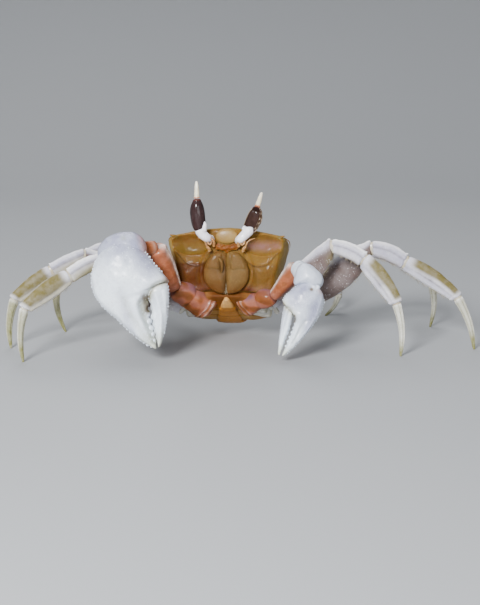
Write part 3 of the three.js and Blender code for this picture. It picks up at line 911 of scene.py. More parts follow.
SKIN = Finish(
    "joint skin", (0.50, 0.46, 0.36), (0.36, 0.31, 0.21),
    stains=(Stain("rose", (0.22, 0.085, 0.065), 0.9, 0.3),),
    roughness=0.34, flesh=0.3, coat=0.3, wrinkle_scale=900.0, wrinkle_strength=0.4,
)
STALK = Finish(
    "white eye stalk", (0.84, 0.82, 0.85), (0.70, 0.67, 0.74),
    stains=(Stain("deep", (0.36, 0.17, 0.070), 0.9),),
    roughness=0.34, flesh=0.2, flesh_colour=(1.0, 0.85, 0.75), coat=0.3, grain_strength=0.12,
)
CORNEA = Finish(
    "dark cornea", (0.018, 0.009, 0.009), (0.034, 0.018, 0.018),
    stains=(
        Stain("torn", (0.048, 0.026, 0.013), 0.9, 0.5, 1100.0),
        # pale: painted rim light along the hollow's edge, and pale ragged patches where the cornea is torn
        Stain("bare", (0.46, 0.36, 0.26), 0.9, 0.25, 1300.0),
        Stain("deep", (0.16, 0.030, 0.014), 0.9, 0.2),
    ),
    roughness=0.25, patch_scale=300.0, grain_strength=0.04, wrinkle_strength=0.06, flesh=0.0, coat=0.4,
    coat_roughness=0.12, shine=0.04,
)
HORN = Finish(
    "ivory horn", (0.74, 0.67, 0.52), (0.60, 0.53, 0.38),
    stains=(Stain("deep", (0.42, 0.11, 0.035), 0.95, 0.15), Stain("pale", (0.80, 0.76, 0.66), 0.8)),
    roughness=0.36, flesh=0.2, flesh_colour=(1.0, 0.85, 0.6), coat=0.15, grain_strength=0.1,
)
HAIR = Finish(
    "pale bristles", (0.44, 0.38, 0.26), (0.32, 0.26, 0.16), roughness=0.55, flesh=0.0, coat=0.0,
    grain_strength=0.05, wrinkle_strength=0.05,
)
FLOOR = PlainFinish("studio floor", (0.31, 0.32, 0.335), 0.65)


# ------------------------------------------------------------------ body


@dataclass(frozen=True)
class RoundedBox:
    """A rounded box in the body's frame, whose sizes follow lists from its front to its back.

    The crown is the top's height on the middle line, and the arch is how far it falls to the sides.
    The belly is the bottom's height, and the taper is how far the sides draw in towards it. Lean,
    brow and muzzle shape the front, and the corner values its two front corners.
    """

    front: float
    back: float
    squareness: float
    half_widths: tuple[float, ...]
    crown: tuple[float, ...]
    arch: tuple[float, ...]
    belly: tuple[float, ...]
    taper: tuple[float, ...]
    lean: float = 0.0
    brow: float = 0.0
    muzzle: float = 0.0
    muzzle_width: float = 7.0
    corner: float = 0.0
    corner_start: float = 0.8
    corner_spread: float = 0.4
    side_curve: float = 1.5
    steps: tuple[int, int, int] = (60, 50, 30)

    def cube(self) -> tuple[np.ndarray, np.ndarray]:
        """Makes the corners and quads of a gridded cube.

        Returns:
            Points from -1 to 1, with shared corners merged, and quads.
        """
        points, quads = [], []
        count = 0
        for axis in range(3):
            second, third = (axis + 1) % 3, (axis + 2) % 3
            p = np.linspace(-1, 1, self.steps[second] + 1)
            q = np.linspace(-1, 1, self.steps[third] + 1)
            across, up = np.meshgrid(p, q, indexing="ij")
            number = np.arange(across.size).reshape(across.shape)
            corners = (number[:-1, :-1], number[1:, :-1], number[1:, 1:], number[:-1, 1:])
            quad = np.stack(corners, -1).reshape(-1, 4)
            for end in (-1, 1):
                face = np.zeros((across.size, 3))
                face[:, axis] = end
                face[:, second] = across.ravel()
                face[:, third] = up.ravel()
                points.append(face)
                quads.append((quad if end > 0 else quad[:, ::-1]) + count)
                count += across.size
        merged, index = np.unique(np.round(np.concatenate(points), 6), axis=0, return_inverse=True)
        return merged, index.ravel()[np.concatenate(quads)]

    def slope(self, x: np.ndarray, z: np.ndarray) -> np.ndarray:
        """Gives how far the front slopes back at places on it."""
        return self.lean * (self.brow - z) - self.muzzle * hump(x, 0.0, self.muzzle_width)

    def top(self, across: np.ndarray, back: np.ndarray) -> np.ndarray:
        """Gives the top's height at shares of the half width and of the length."""
        return curve(self.crown, back) - curve(self.arch, back) * across**2

    def place(self, cube: np.ndarray) -> np.ndarray:
        """Moves points of the cube onto the body's shape.

        Args:
            cube: Points from -1 to 1.

        Returns:
            The points in the body's frame.
        """
        power = self.squareness
        inner = cube * (np.abs(cube) ** power).sum(1, keepdims=True) ** (-1 / power)
        across = inner[:, 0]
        back = (inner[:, 1] + 1) / 2
        rise = (inner[:, 2] + 1) / 2
        drawn_in = 1 - curve(self.taper, back) * (1 - rise) ** self.side_curve
        x = across * curve(self.half_widths, back) * drawn_in
        bottom = curve(self.belly, back)
        z = bottom + (self.top(across, back) - bottom) * rise
        face = np.clip(1 - 2 * back, 0, 1) ** 2
        outer = np.clip((np.abs(across) - self.corner_start) / (1 - self.corner_start), 0, None)
        corner = self.corner * outer * rise * face
        y = self.front + (self.back - self.front) * back + face * self.slope(x, z) - corner
        return np.stack([x + self.corner_spread * np.sign(across) * corner, y, z], -1)

    def surface(self) -> Surface:
        """Gives the box's plain surface, still in the body's frame."""
        cube, quads = self.cube()
        return Surface(self.place(cube), quads, np.zeros((0, 3), int)).faced_out()


@dataclass(frozen=True)
class Shield:
    """The carapace: a square box of a shell with the eye sockets and the face worked into its front."""

    box: RoundedBox = RoundedBox(
        front=-15.6, back=17.5, squareness=14, half_widths=(19.3, 20.9, 20.6, 18.2, 13.6),
        crown=(12.6, 13.7, 13.4, 11.2, 5.4), arch=(2.7, 3.4, 4.0, 4.4, 3.6),
        belly=(-8.6, -7.6, -6.8, -5.0, -2.4), taper=(0.2, 0.2, 0.2, 0.22, 0.24), lean=0.27,
        brow=9.0, muzzle=1.5, corner=2.0, side_curve=0.9, steps=(158, 118, 74),
    )
    socket: tuple[float, float, float, float] = (12.0, 6.9, 7.0, 3.5)
    socket_depth: float = 1.4
    socket_rim: Line = Line(
        ((5.6, 4.2), (6.4, 2.2), (8.2, 0.7), (10.8, 0.1), (13.6, 0.9), (15.6, 3.0), (17.2, 4.6)), 0.13, 0.35
    )
    mouth_ridge: Line = Line(((6.2, 4.4), (8.0, 1.4), (8.8, -2.2), (8.3, -5.4), (6.9, -8.0)), 0.5, 0.8)
    cheek_groove: Line = Line(((9.0, -0.4), (9.8, -3.0), (10.4, -6.4)), -0.25, 0.9)
    face_lines: tuple[Line, ...] = (
        Line(((18.9, 9.0), (17.9, 5.0), (17.0, 0.5), (16.5, -3.5), (15.6, -7.2)), 0.16, 0.6),
        Line(((16.0, 5.0), (15.2, 0.8), (14.6, -3.2), (13.2, -7.0)), -0.14, 0.6),
        Line(((3.9, 8.6), (4.6, 6.4), (6.0, 4.9)), -0.3, 0.5),
    )
    face_swells: tuple[Swell, ...] = (
        Swell(12.0, -2.6, 3.6, 3.0, 0.5),
        Swell(4.2, -2.0, 3.6, 6.0, -0.1),
        Swell(15.6, 5.6, 1.6, 1.6, 0.5),
    )
    top_lines: tuple[Line, ...] = (
        Line(((2.1, -4.6), (2.9, -1.4), (3.5, 1.4), (2.7, 4.0), (2.5, 6.6)), -0.42, 0.55),
        Line(((0.0, 1.9), (1.6, 2.0), (3.3, 1.4)), -0.3, 0.5),
        Line(((3.4, 0.6), (6.0, -1.8), (9.6, -3.4), (13.8, -5.2), (17.6, -5.6)), -0.3, 0.8),
        Line(((0.0, -14.2), (0.0, -11.4), (0.0, -8.6)), -0.3, 0.5),
        Line(((20.4, 2.0), (18.6, 6.4), (16.2, 10.6), (14.4, 14.2)), 0.25, 0.4),
        Line(((3.0, 8.0), (5.6, 10.6), (10.2, 12.6)), -0.22, 0.7),
    )
    top_swells: tuple[Swell, ...] = (
        Swell(5.6, -7.0, 3.6, 3.4, 0.5),
        Swell(0.0, 5.6, 2.4, 2.6, 0.4),
        Swell(11.4, 4.6, 4.6, 6.0, 0.6),
        Swell(0.0, -1.6, 1.8, 2.4, 0.35),
    )
    rim_grains: int = 26
    rim_grain: float = 0.1
    rim_grain_out: float = 0.16
    edge_grain_gap: float = 0.62
    edge_grain: float = 0.17
    edge_grain_sunk: tuple[float, float] = (0.2, 0.25)
    edge_grain_ends: tuple[float, float] = (-14.0, 2.0)
    corner_tooth: tuple[float, float, float] = (1.2, -0.5, 0.3)
    corner_tooth_radius: float = 0.8

    def socket_bowl(self, x: np.ndarray, z: np.ndarray) -> np.ndarray:
        """Gives the shape of the eye sockets.

        Args:
            x: Places across the face.
            z: Their heights.

        Returns:
            1 in the middle of a socket and 0 outside it.
        """
        middle, height, wide, tall = self.socket
        off = ((np.abs(x) - middle) / wide) ** 2 + ((z - height) / tall) ** 2
        return np.clip(1 - off**1.6, 0, 1) ** 0.85

    def top_height(self, x: np.ndarray, y: np.ndarray) -> np.ndarray:
        """Gives the height of the plain top over places in the body's frame."""
        back = (y - self.box.front) / (self.box.back - self.box.front)
        return self.box.top(x / curve(self.box.half_widths, back), back)

    def shape(self) -> Surface:
        """Works the face and the top into the plain shell.

        Returns:
            The carapace in the body's frame, with its masks.
        """
        surface = self.box.surface()
        normals = surface.normals()
        x, y, z = surface.points.T.copy()
        side = np.abs(x)
        face = smooth(0.35, 0.8, -normals[:, 1]) * smooth(-4.0, -9.0, y)
        top = smooth(0.45, 0.85, normals[:, 2])
        wall = smooth(0.5, 0.85, np.abs(normals[:, 0]))
        bowl = self.socket_bowl(x, z)
        brow = smooth(1.5, 0.5, self.top_height(x, y) - z) * smooth(-12.5, -14.5, y)
        drawn = (self.socket_rim, self.mouth_ridge, self.cheek_groove, *self.face_lines, *self.face_swells)
        relief = sum(item.lift(side, z) for item in drawn)
        upper = sum(item.lift(side, y) for item in self.top_lines + self.top_swells)
        surface.points[:, 1] -= face * (relief * (1 - 0.8 * bowl) - self.socket_depth * bowl + 0.12 * brow)
        surface.points += normals * (top * upper + 0.05 * lumps(surface.points, 2.6, 1))[:, None]
        self.paint(surface, face, top, wall, bowl, brow)
        return surface

    def paint(self, surface: Surface, face: np.ndarray, top: np.ndarray, wall: np.ndarray, bowl: np.ndarray,
              brow: np.ndarray) -> None:
        """Sets the masks: amber below the sockets, olive in them, rosy lower rims and pale edges, with a
        painted pink highlight in the left socket and painted shade in the creases, under the socket rims and
        along the bottom edge.

        Args:
            surface: The shell, before it is turned nose up.
            face: 1 on the front.
            top: 1 on the upper side.
            wall: 1 on the side walls.
            bowl: 1 in the sockets.
            brow: 1 along the front edge of the top.
        """
        x, y, z = surface.points.T
        side = np.abs(x)
        right = smooth(2.0, -4.0, x)
        left = 1 - right
        shade_by_mouth_ridge, shade_in_cheek_groove, shade_under_socket_rim = (
            replace(line, height=1.0, width=width).lift(side, height)
            for line, width, height in (
                (self.mouth_ridge, 0.45, z), (self.cheek_groove, 0.7, z), (self.socket_rim, 0.22, z + 0.35),
            )
        )
        deep = face * smooth(1.6, -0.4, z) * (1 - bowl) * (0.3 + 0.9 * right)
        deep += face * (0.35 * bowl * smooth(7.0, 9.5, z) + 0.3 * right)
        deep += 0.8 * face * smooth(-5.5, -8.0, z) * smooth(11.0, 7.0, side)
        olive = 0.5 * top * smooth(-9.0, -15.0, y) + 0.4 * wall * smooth(-3.0, 3.0, x)
        olive += 0.7 * face * bowl * smooth(9.0, 4.0, z) * right
        pale = 0.12 * brow + wall * (0.5 + 0.2 * right) + 0.25 * top
        pale += 0.4 * top * smooth(0.2, 1.2, lumps(surface.points, 5.0, 2))
        # painted pink highlight across the left eye socket
        rose = 1.1 * face * bowl * hump(z, 6.8, 1.5) * left
        rose += 0.35 * face * hump(z, -7.6, 1.3) * smooth(6.0, 9.0, side)
        # painted shade beside the mouth ridge, in the cheek groove and under the socket rims
        dark = face * (0.15 * shade_by_mouth_ridge + 0.2 * shade_in_cheek_groove + 0.7 * shade_under_socket_rim)
        # painted shade along the bottom front edge of the shield
        dark += 0.5 * smooth(-7.5, -8.3, z) * smooth(10.0, 7.0, side) * smooth(-6.0, -9.0, y)
        surface.masked(deep=deep, olive=olive, pale=pale, rose=rose, dark=dark)

    def edge_grains(self) -> Surface:
        """Sets grains along the socket rims and the side edges, and the tooth on each front corner.

        Returns:
            The grains and teeth in the body's frame.
        """
        box = self.box
        sunk_in, sunk_down = self.edge_grain_sunk
        x, z = curve(self.socket_rim.points, np.linspace(0.02, 0.98, self.rim_grains)).T
        rim = np.stack([x, box.front + box.slope(x, z) - self.rim_grain_out, z], -1)
        y = np.arange(*self.edge_grain_ends, self.edge_grain_gap)
        half = curve(box.half_widths, (y - box.front) / (box.back - box.front))
        edge = np.stack([half - sunk_in, y, self.top_height(half, y) - sunk_down], -1)
        parts = []
        for side in Side:
            mirror = np.array([side.value, 1.0, 1.0])
            parts.append(beads(rim * mirror, np.full(len(rim), self.rim_grain)))
            parts.append(beads(edge * mirror, self.edge_grain * (1 - 0.5 * smooth(-6, 2, y))))
            corner = box.place(np.array([[side.value, -1.0, 1.0]]))[0]
            reach = mirror * self.corner_tooth
            parts.append(spine(corner - reach, corner + reach, self.corner_tooth_radius, 20))
        return joined(parts).toned(pale=0.1)

    def build(self) -> None:
        """Makes the carapace piece."""
        whole = joined([self.shape(), self.edge_grains()])
        whole.points = body_to_standing(whole.points)
        mesh_object("carapace_shell", whole, SHIELD, Slot.SHIELD, ("carapace",))


@dataclass(frozen=True)
class MouthCover:
    """The face between the sockets: the turned-down front, the mouth frame and the two flaps."""

    top: float = 4.2
    y: float = -16.45
    lean: float = 0.28
    flap: tuple = (
        (0.0, 3.2), (0.8, 4.0), (2.4, 4.3), (4.2, 3.8), (5.9, 2.2), (7.1, -0.2), (7.6, -2.8), (7.1, -5.4),
        (5.7, -7.4), (3.7, -8.7), (1.6, -9.3), (0.2, -8.8), (-0.04, -5.0), (-0.04, -1.0),
    )
    merus: tuple = (
        (1.5, 3.1), (2.6, 3.6), (4.2, 3.1), (5.6, 1.6), (6.4, -0.3), (6.1, -1.9), (4.8, -2.7), (3.0, -2.9),
        (1.7, -2.6), (1.3, -0.4),
    )
    palp: tuple = ((2.5, 1.7, 1.2), (2.1, 1.4, 1.6), (1.5, 0.4, 1.7), (1.3, -1.2, 1.6), (1.5, -2.8, 1.3))
    palp_radii: tuple = (0.35, 0.6, 0.6, 0.5, 0.25)
    palp_middle: tuple = (1.5, -0.6, 1.4)
    hollow: tuple[float, float, float] = (1.15, 2.7, 0.75)
    flap_out: float = -0.3
    merus_out: float = 0.75
    front_out: float = -0.5
    frame_out: float = 0.1
    front: tuple = (
        (-3.7, 9.7), (-2.7, 11.0), (-0.9, 11.6), (0.9, 11.6), (2.7, 11.0), (3.7, 9.7), (3.3, 8.1), (1.8, 7.1),
        (0.0, 6.85), (-1.8, 7.1), (-3.3, 8.1),
    )
    frame: tuple = (
        (-2.9, 6.9), (-1.5, 6.5), (0.0, 6.3), (1.5, 6.5), (2.9, 6.9), (4.0, 5.9), (3.6, 4.9), (2.2, 4.7),
        (1.0, 4.4), (0.0, 3.6), (-1.0, 4.4), (-2.2, 4.7), (-3.6, 4.9), (-4.0, 5.9),
    )

    def on_face(self, side: int, out: float) -> Callable:
        """Gives a function that sets plate coordinates on the sloping face.

        Args:
            side: 1 for the crab's left, -1 for its right.
            out: How far in front of the face the plate's rim lies.

        Returns:
            The function, from (x, z, height) to standing points.
        """
        def place(x: np.ndarray, z: np.ndarray, height: np.ndarray) -> np.ndarray:
            """Sets one grid of plate points on the face."""
            y = self.y + self.lean * (self.top - z) - out - height
            return body_to_standing(np.stack([side * x, y, z], -1))

        return place

    def flap_piece(self, side: Side) -> None:
        """Makes one flap: its broad plate, its upper joint and, in the right one, its folded palp.

        Args:
            side: The flap's side.
        """
        right = float(side is Side.RIGHT)
        place = self.on_face(side.value, self.flap_out)
        broad = plate(self.flap, place, dome=1.75, thickness=1.6, rows=40, cols=150, middle=(3.8, -1.4))
        broad.roughened(0.05, 2.2, seed=5)
        height = (broad.points[:, 2] - broad.points[:, 2].min()) / np.ptp(broad.points[:, 2])
        across = np.abs(broad.points[:, 0] + 0.5)
        broad.masked(
            # deep: amber low on the flap and at its outer edge, and painted shade over the whole right flap
            deep=0.8 * smooth(0.4, 0.05, height) + 0.3 * smooth(5.2, 7.6, across) + 0.5 * right,
            rose=0.3 * hump(height, 0.5, 0.14),
            # dark: painted shade along the inner edge, in the gap between the flaps
            dark=0.6 * smooth(1.6, 0.3, across) * smooth(0.85, 0.5, height),
        )
        above = self.on_face(side.value, self.merus_out)
        upper = plate(self.merus, above, dome=0.95, thickness=1.4, rows=30, cols=120, middle=(3.8, 0.6))
        # the right flap's upper joint gets the same painted shade
        parts = [broad, upper.roughened(0.04, 1.8, seed=6).toned(rose=0.25, deep=0.45 * right)]
        if right:
            parts.append(self.folded_palp(parts, place))
        mesh_object(f"mouth_flap_{side.word}", joined(parts), MOUTH, Slot.MOUTH, (f"maxilliped_{side.word}",))

    def folded_palp(self, flaps: list[Surface], place: Callable) -> Surface:
        """Makes the palp that shows in a hollow of one flap.

        Args:
            flaps: The flap's plates, which are hollowed and given painted shade in the hollow.
            place: Sets plate coordinates on the face.

        Returns:
            The palp.
        """
        wide, tall, depth = self.hollow
        middle = place(*map(np.array, self.palp_middle))
        for flap in flaps:
            off = flap.points - middle
            hollow = np.exp(-((off[:, 0] / wide) ** 2) - (off[:, 2] / tall) ** 2)
            flap.points[:, 1] += depth * hollow
            # painted shade in the hollow
            flap.masks["dark"] = np.maximum(flap.masks.get("dark", 0 * hollow), 0.6 * hollow)
        t = np.linspace(0, 1, 26)
        return tube(place(*curve(self.palp, t).T), curve(self.palp_radii, t), 16).toned(deep=0.35)

    def build(self) -> None:
        """Makes every piece of the mouth and the front."""
        for side in Side:
            self.flap_piece(side)
        lobe = plate(self.front, self.on_face(1, self.front_out), dome=0.95, thickness=1.6, rows=26, cols=110)
        rim = plate(self.frame, self.on_face(1, self.frame_out), dome=0.6, thickness=1.6, rows=26, cols=120)
        mesh_object("front_lobe", lobe, FRONT, Slot.SHIELD)
        mesh_object("mouth_frame", rim.roughened(0.12, 1.1, seed=7), EPISTOME, Slot.SHIELD)


@dataclass(frozen=True)
class FeelerPart:
    """One ringed part of a feeler: its line as (x, z, height) on the face, and its radii and rings."""

    points: tuple
    thick: float
    thin: float
    rings: int

    def surface(self, place: Callable) -> Surface:
        """Makes the part.

        Args:
            place: Sets (x, z, height) on the face.

        Returns:
            The part.
        """
        t = np.linspace(0, 1, 110)
        ringed = 1 + 0.16 * np.abs(np.sin(t * self.rings * math.pi)) - 0.08
        radii = (self.thick + (self.thin - self.thick) * t) * ringed
        radii[[0, -1]] *= [0.5, 0.4]
        return tube(place(*curve(self.points, t).T), radii, 12)


@dataclass(frozen=True)
class Feelers:
    """The two pairs of small feelers, folded beside the mouth frame."""

    out: float = 0.7
    parts: tuple[FeelerPart, ...] = (
        FeelerPart(
            ((4.2, 5.7, -0.2), (4.1, 6.9, 0.7), (4.9, 7.9, 1.0), (5.9, 7.6, 1.0), (6.1, 6.6, 1.1),
             (5.3, 6.0, 1.2), (4.9, 6.6, 1.3), (5.2, 7.1, 1.3)), thick=0.52, thin=0.2, rings=15,
        ),
        FeelerPart(
            ((6.3, 5.0, 0.0), (6.6, 5.8, 0.8), (7.2, 6.9, 1.2), (8.3, 7.7, 1.2), (9.6, 8.2, 0.9)),
            thick=0.34, thin=0.1, rings=13,
        ),
        FeelerPart(((5.6, 4.3, -0.2), (5.9, 5.0, 0.6), (6.6, 5.5, 0.6)), thick=0.6, thin=0.42, rings=4),
    )

    def build(self, mouth: MouthCover) -> None:
        """Makes the feelers on the face that the mouth cover lies on.

        Args:
            mouth: The mouth cover, which knows the face.
        """
        for side in Side:
            place = mouth.on_face(side.value, self.out)
            pair = joined([part.surface(place) for part in self.parts])
            mesh_object(f"feelers_{side.word}", pair, FEELER, Slot.FEELER, (f"antennae_{side.word}",))


# ------------------------------------------------------------------ limbs


def mitre(before: np.ndarray, joint: np.ndarray, after: np.ndarray) -> np.ndarray:
    """Gives the normal of the plane that halves the bend at a joint."""
    return unit(unit(joint - before) + unit(after - joint))


def off_angle(angle: np.ndarray, middle: float) -> np.ndarray:
    """Gives how far angles in radians lie from a middle one in degrees, as 0 to 180 degrees."""
    return np.abs((np.degrees(angle) - middle + 180) % 360 - 180)


def crest(angle: np.ndarray, degrees: float, width: float | np.ndarray) -> np.ndarray:
    """Gives 1 along a line at an angle round a limb, fading over a width in degrees."""
    return hump(off_angle(angle, degrees), 0.0, width)


@dataclass(frozen=True)
class Ridge:
    """A ridge, or with a negative height a groove, that runs along a limb at an angle in degrees."""

    degrees: float
    height: float
    width: float

    def lift(self, angle: np.ndarray) -> np.ndarray:
        """Gives the height that it adds at angles round the limb."""
        return self.height * crest(angle, self.degrees, self.width)


def row_beads(places: np.ndarray, radius: float, mean: float, beat: float, sides: int = 8) -> Surface:
    """Sets a row of grains that swell and shrink along it.

    Args:
        places: Middles of the grains, in order.
        radius: The largest radius.
        mean: The usual radius, as a share of the largest.
        beat: How fast the radii change.
        sides: Corners round a grain.

    Returns:
        The grains.
    """
    return beads(places, radius * (mean + (1 - mean) * np.sin(np.arange(len(places)) * beat)), sides)


@dataclass(frozen=True)
class Limb:
    """One hard piece of a limb between two joints.

    The section is heights along up and thicknesses across it. Angles run from up at 0 degrees
    through the wide side at 90.
    """

    start: np.ndarray
    end: np.ndarray
    up: np.ndarray
    heights: tuple
    thick: tuple
    sag: float = 0.0
    squareness: float = 2.5
    start_plane: np.ndarray | None = None
    end_plane: np.ndarray | None = None
    soft_start: float = 0.0
    soft_end: float = 0.0
    narrow: float = 0.6
    mitre_reach: float = 0.36

    def frame(self) -> tuple[np.ndarray, np.ndarray, np.ndarray, float]:
        """Works out how the limb lies.

        Returns:
            The directions along it, to its high side and to its wide side, and its length.
        """
        axis = self.end - self.start
        length = float(np.linalg.norm(axis))
        axis = axis / length
        high = unit(self.up - axis * self.up.dot(axis))
        return axis, high, np.cross(axis, high), length

    def rounding(self, t: np.ndarray, length: float) -> np.ndarray:
        """Draws the section in near the two ends.

        Args:
            t: Places along the limb.
            length: Its length.

        Returns:
            The section's share of its full size at each place.
        """
        share = np.ones_like(t)
        for depth, away in ((self.soft_start, t * length), (self.soft_end, (1 - t) * length)):
            if depth > 0:
                share = share * (self.narrow + (1 - self.narrow) * rounded(away / depth))
        return share

    def at(self, t: np.ndarray, angle: np.ndarray, lift: np.ndarray | float = 0.0) -> np.ndarray:
        """Gives points on the limb.

        Args:
            t: Places along the limb, from 0 to 1.
            angle: Angles round it, in radians.
            lift: How far outside the surface.

        Returns:
            The points in the standing frame.
        """
        axis, high, wide, length = self.frame()
        w, d = section(angle, self.squareness)
        share = self.rounding(t, length)
        half_high = curve(self.heights, t) / 2 * share + lift
        half_wide = curve(self.thick, t) / 2 * share + lift
        middle = length * t[..., None] * axis - (self.sag * np.sin(math.pi * t))[..., None] * high
        point = self.start + middle + (half_high * w)[..., None] * high + (half_wide * d)[..., None] * wide
        near = t < 0.5
        hold = np.clip(1 - np.minimum(t, 1 - t) / self.mitre_reach, 0, 1)
        for normal, joint, here, shift in (
            (self.start_plane, self.start, near, JOINT_GAP / 2),
            (self.end_plane, self.end, ~near, -JOINT_GAP / 2),
        ):
            normal = axis if normal is None else normal
            in_end = point - (length * np.where(near, t, t - 1))[..., None] * axis
            miss = (joint + normal * shift - in_end) @ normal / float(axis @ normal)
            point = point + (here * hold * miss)[..., None] * axis
        return point

    def grid(self, rows: int, cols: int) -> tuple[np.ndarray, np.ndarray]:
        """Gives a grid that is closer set near the ends.

        Args:
            rows: Rings along the limb.
            cols: Corners in a ring.

        Returns:
            The place and the angle of each ring point.
        """
        even = np.linspace(0, 1, rows)
        t = 0.55 * even + 0.45 * (1 - np.cos(math.pi * even)) / 2
        return np.meshgrid(t, full_turn(cols), indexing="ij")

    def row(self, low: float, high: float, pitch: float, degrees: float, lift: float) -> np.ndarray:
        """Gives places for a row of grains along the limb.

        Args:
            low: Where the row starts, from 0 to 1.
            high: Where it ends.
            pitch: Distance between two grains.
            degrees: The row's angle round the limb.
            lift: How far outside the surface the grains' middles lie.

        Returns:
            The places, in order.
        """
        count = max(3, int((high - low) * self.frame()[3] / pitch))
        t = np.linspace(low, high, count)
        return self.at(t, np.full(count, math.radians(degrees)), lift)


def spine(root: np.ndarray, tip: np.ndarray, radius: float, sides: int = 10) -> Surface:
    """Makes a short pointed spine.

    Args:
        root: Where it stands.
        tip: Where it ends.
        radius: Its radius at the root.
        sides: Corners round it.

    Returns:
        The spine.
    """
    t = np.linspace(0, 1, 8)
    return tube(root + t[:, None] * (tip - root), radius * (1 - 0.85 * t**1.3), sides)


# ------------------------------------------------------------------ walking legs


class LegPiece(Enum):
    """The hard pieces of a walking leg, from the body outwards."""

    MERUS = "merus"
    CARPUS = "carpus"
    PROPODUS = "propodus"
    DACTYL = "dactyl"


@dataclass(frozen=True)
class GrainRow:
    """A row of grains along a leg piece, at an angle in degrees on the left legs.

    A mirrored row lies at the opposite angle on the right legs.
    """

    low: float
    high: float
    degrees: float
    radius: float
    mirrored: bool = True


@dataclass(frozen=True)
class LegPart:
    """What the legs' pieces of one kind share.

    Heights and thicknesses are shares of the size that a pair has for the piece. The rim is a
    raised ring's height, place and width. The relief is its depth, the distance between its lumps
    and its seed. Ridges are given for the left legs.
    """

    piece: LegPiece
    shares: tuple[float, ...]
    flatness: float
    arch: float
    grid: tuple[int, int]
    ridges: tuple[Ridge, ...]
    rim: tuple[float, float, float] = (0.0, 1.0, 1.0)
    relief: tuple[float, float, int] = (0.0, 1.0, 0)
    wave: float = 0.0
    rows: tuple[GrainRow, ...] = ()


MERUS = LegPart(
    LegPiece.MERUS, (0.44, 0.62, 0.96, 1.0, 0.9), 0.46, 0.0, (120, 76),
    (Ridge(0, 0.22, 16), Ridge(162, 0.16, 14), Ridge(198, 0.12, 14)),
    rim=(0.16, 0.965, 0.02), relief=(0.07, 2.4, 20), wave=0.08,
    rows=(GrainRow(0.1, 0.97, 0, 0.16), GrainRow(0.14, 0.96, 162, 0.22), GrainRow(0.16, 0.94, 198, 0.16)),
)
CARPUS = LegPart(
    LegPiece.CARPUS, (0.82, 0.98, 1.0, 0.92), 0.62, 0.9, (70, 72),
    (Ridge(0, 0.2, 14), Ridge(55.8, 0.16, 12), Ridge(76.5, -0.14, 12)),
    rim=(0.12, 0.94, 0.035), relief=(0.05, 2.0, 30),
    rows=(GrainRow(0.08, 0.92, 0, 0.13), GrainRow(0.1, 0.95, 55.8, 0.12)),
)
PROPODUS = LegPart(
    LegPiece.PROPODUS, (0.84, 1.0, 1.0, 0.86, 0.64), 0.56, 0.7, (90, 76),
    (Ridge(0, 0.18, 14), Ridge(81, 0.12, 14), Ridge(117, -0.12, 15), Ridge(180, 0.14, 14)),
    rim=(0.14, 0.96, 0.025), relief=(0.05, 2.2, 40),
    rows=(GrainRow(0.05, 0.95, 0, 0.09), GrainRow(0.04, 0.96, 176, 0.16, mirrored=False)),
)
DACTYL = LegPart(
    LegPiece.DACTYL, (0.98, 0.76, 0.56, 0.36), 0.8, 1.1, (90, 64),
    (Ridge(0, 0.2, 16), Ridge(180, 0.14, 18), Ridge(90, 0.1, 16), Ridge(-90, 0.1, 16),
     *(Ridge(degrees, -0.16, 13) for degrees in (48, 132, -48, -132))),
)


@dataclass(frozen=True)
class LegSize:
    """Sizes of one pair of walking legs.

    The coxa's place is for the left leg, in the body's frame. Each piece and the knee has its
    height, and the sag is how far the long upper piece bends down.
    """

    coxa: tuple[float, float, float]
    merus: float
    knee: float
    carpus: float
    propodus: float
    dactyl: float
    sag: float


@dataclass(frozen=True)
class LegPose:
    """One leg's stance: heading in degrees, and joints as distances out and heights above the floor.

    The arch is how much of their usual bend the two middle pieces have.
    """

    heading: float
    knee: tuple[float, float]
    wrist: tuple[float, float]
    ankle: tuple[float, float]
    tip: float
    arch: float = 1.0


LEG_SIZES = {
    2: LegSize((13.8, -3.0, -11.4), 8.4, 5.4, 5.2, 6.2, 2.8, 0.8),
    3: LegSize((15.2, 2.6, -11.2), 11.0, 5.0, 5.6, 5.8, 2.9, 1.6),
    4: LegSize((14.8, 8.0, -10.2), 9.0, 4.4, 5.0, 5.0, 2.6, 1.0),
    5: LegSize((12.0, 12.6, -8.6), 6.0, 3.4, 3.8, 3.6, 2.6, 0.4),
}
LEG_POSES = {
    Side.LEFT: {
        2: LegPose(-20.6, (23.2, 34.8), (34.2, 31.2), (45.7, 17.6), 47.6),
        3: LegPose(-8.9, (34.0, 33.0), (45.2, 28.7), (63.0, 17.4), 69.1),
        4: LegPose(16.5, (33.3, 29.0), (46.0, 25.0), (58.8, 15.4), 58.6),
        5: LegPose(52.6, (24.5, 20.0), (34.0, 17.0), (43.2, 6.8), 34.9),
    },
    Side.RIGHT: {
        2: LegPose(-146.8, (32.1, 31.0), (43.4, 26.6), (59.0, 17.4), 60.0, 0.6),
        3: LegPose(-160.9, (34.9, 30.4), (45.9, 25.5), (58.8, 16.6), 60.5, 0.15),
        4: LegPose(-179.6, (27.0, 30.2), (36.2, 26.0), (46.9, 15.3), 43.8),
        5: LegPose(127.4, (24.5, 20.0), (34.0, 17.0), (43.2, 6.8), 34.9),
    },
}


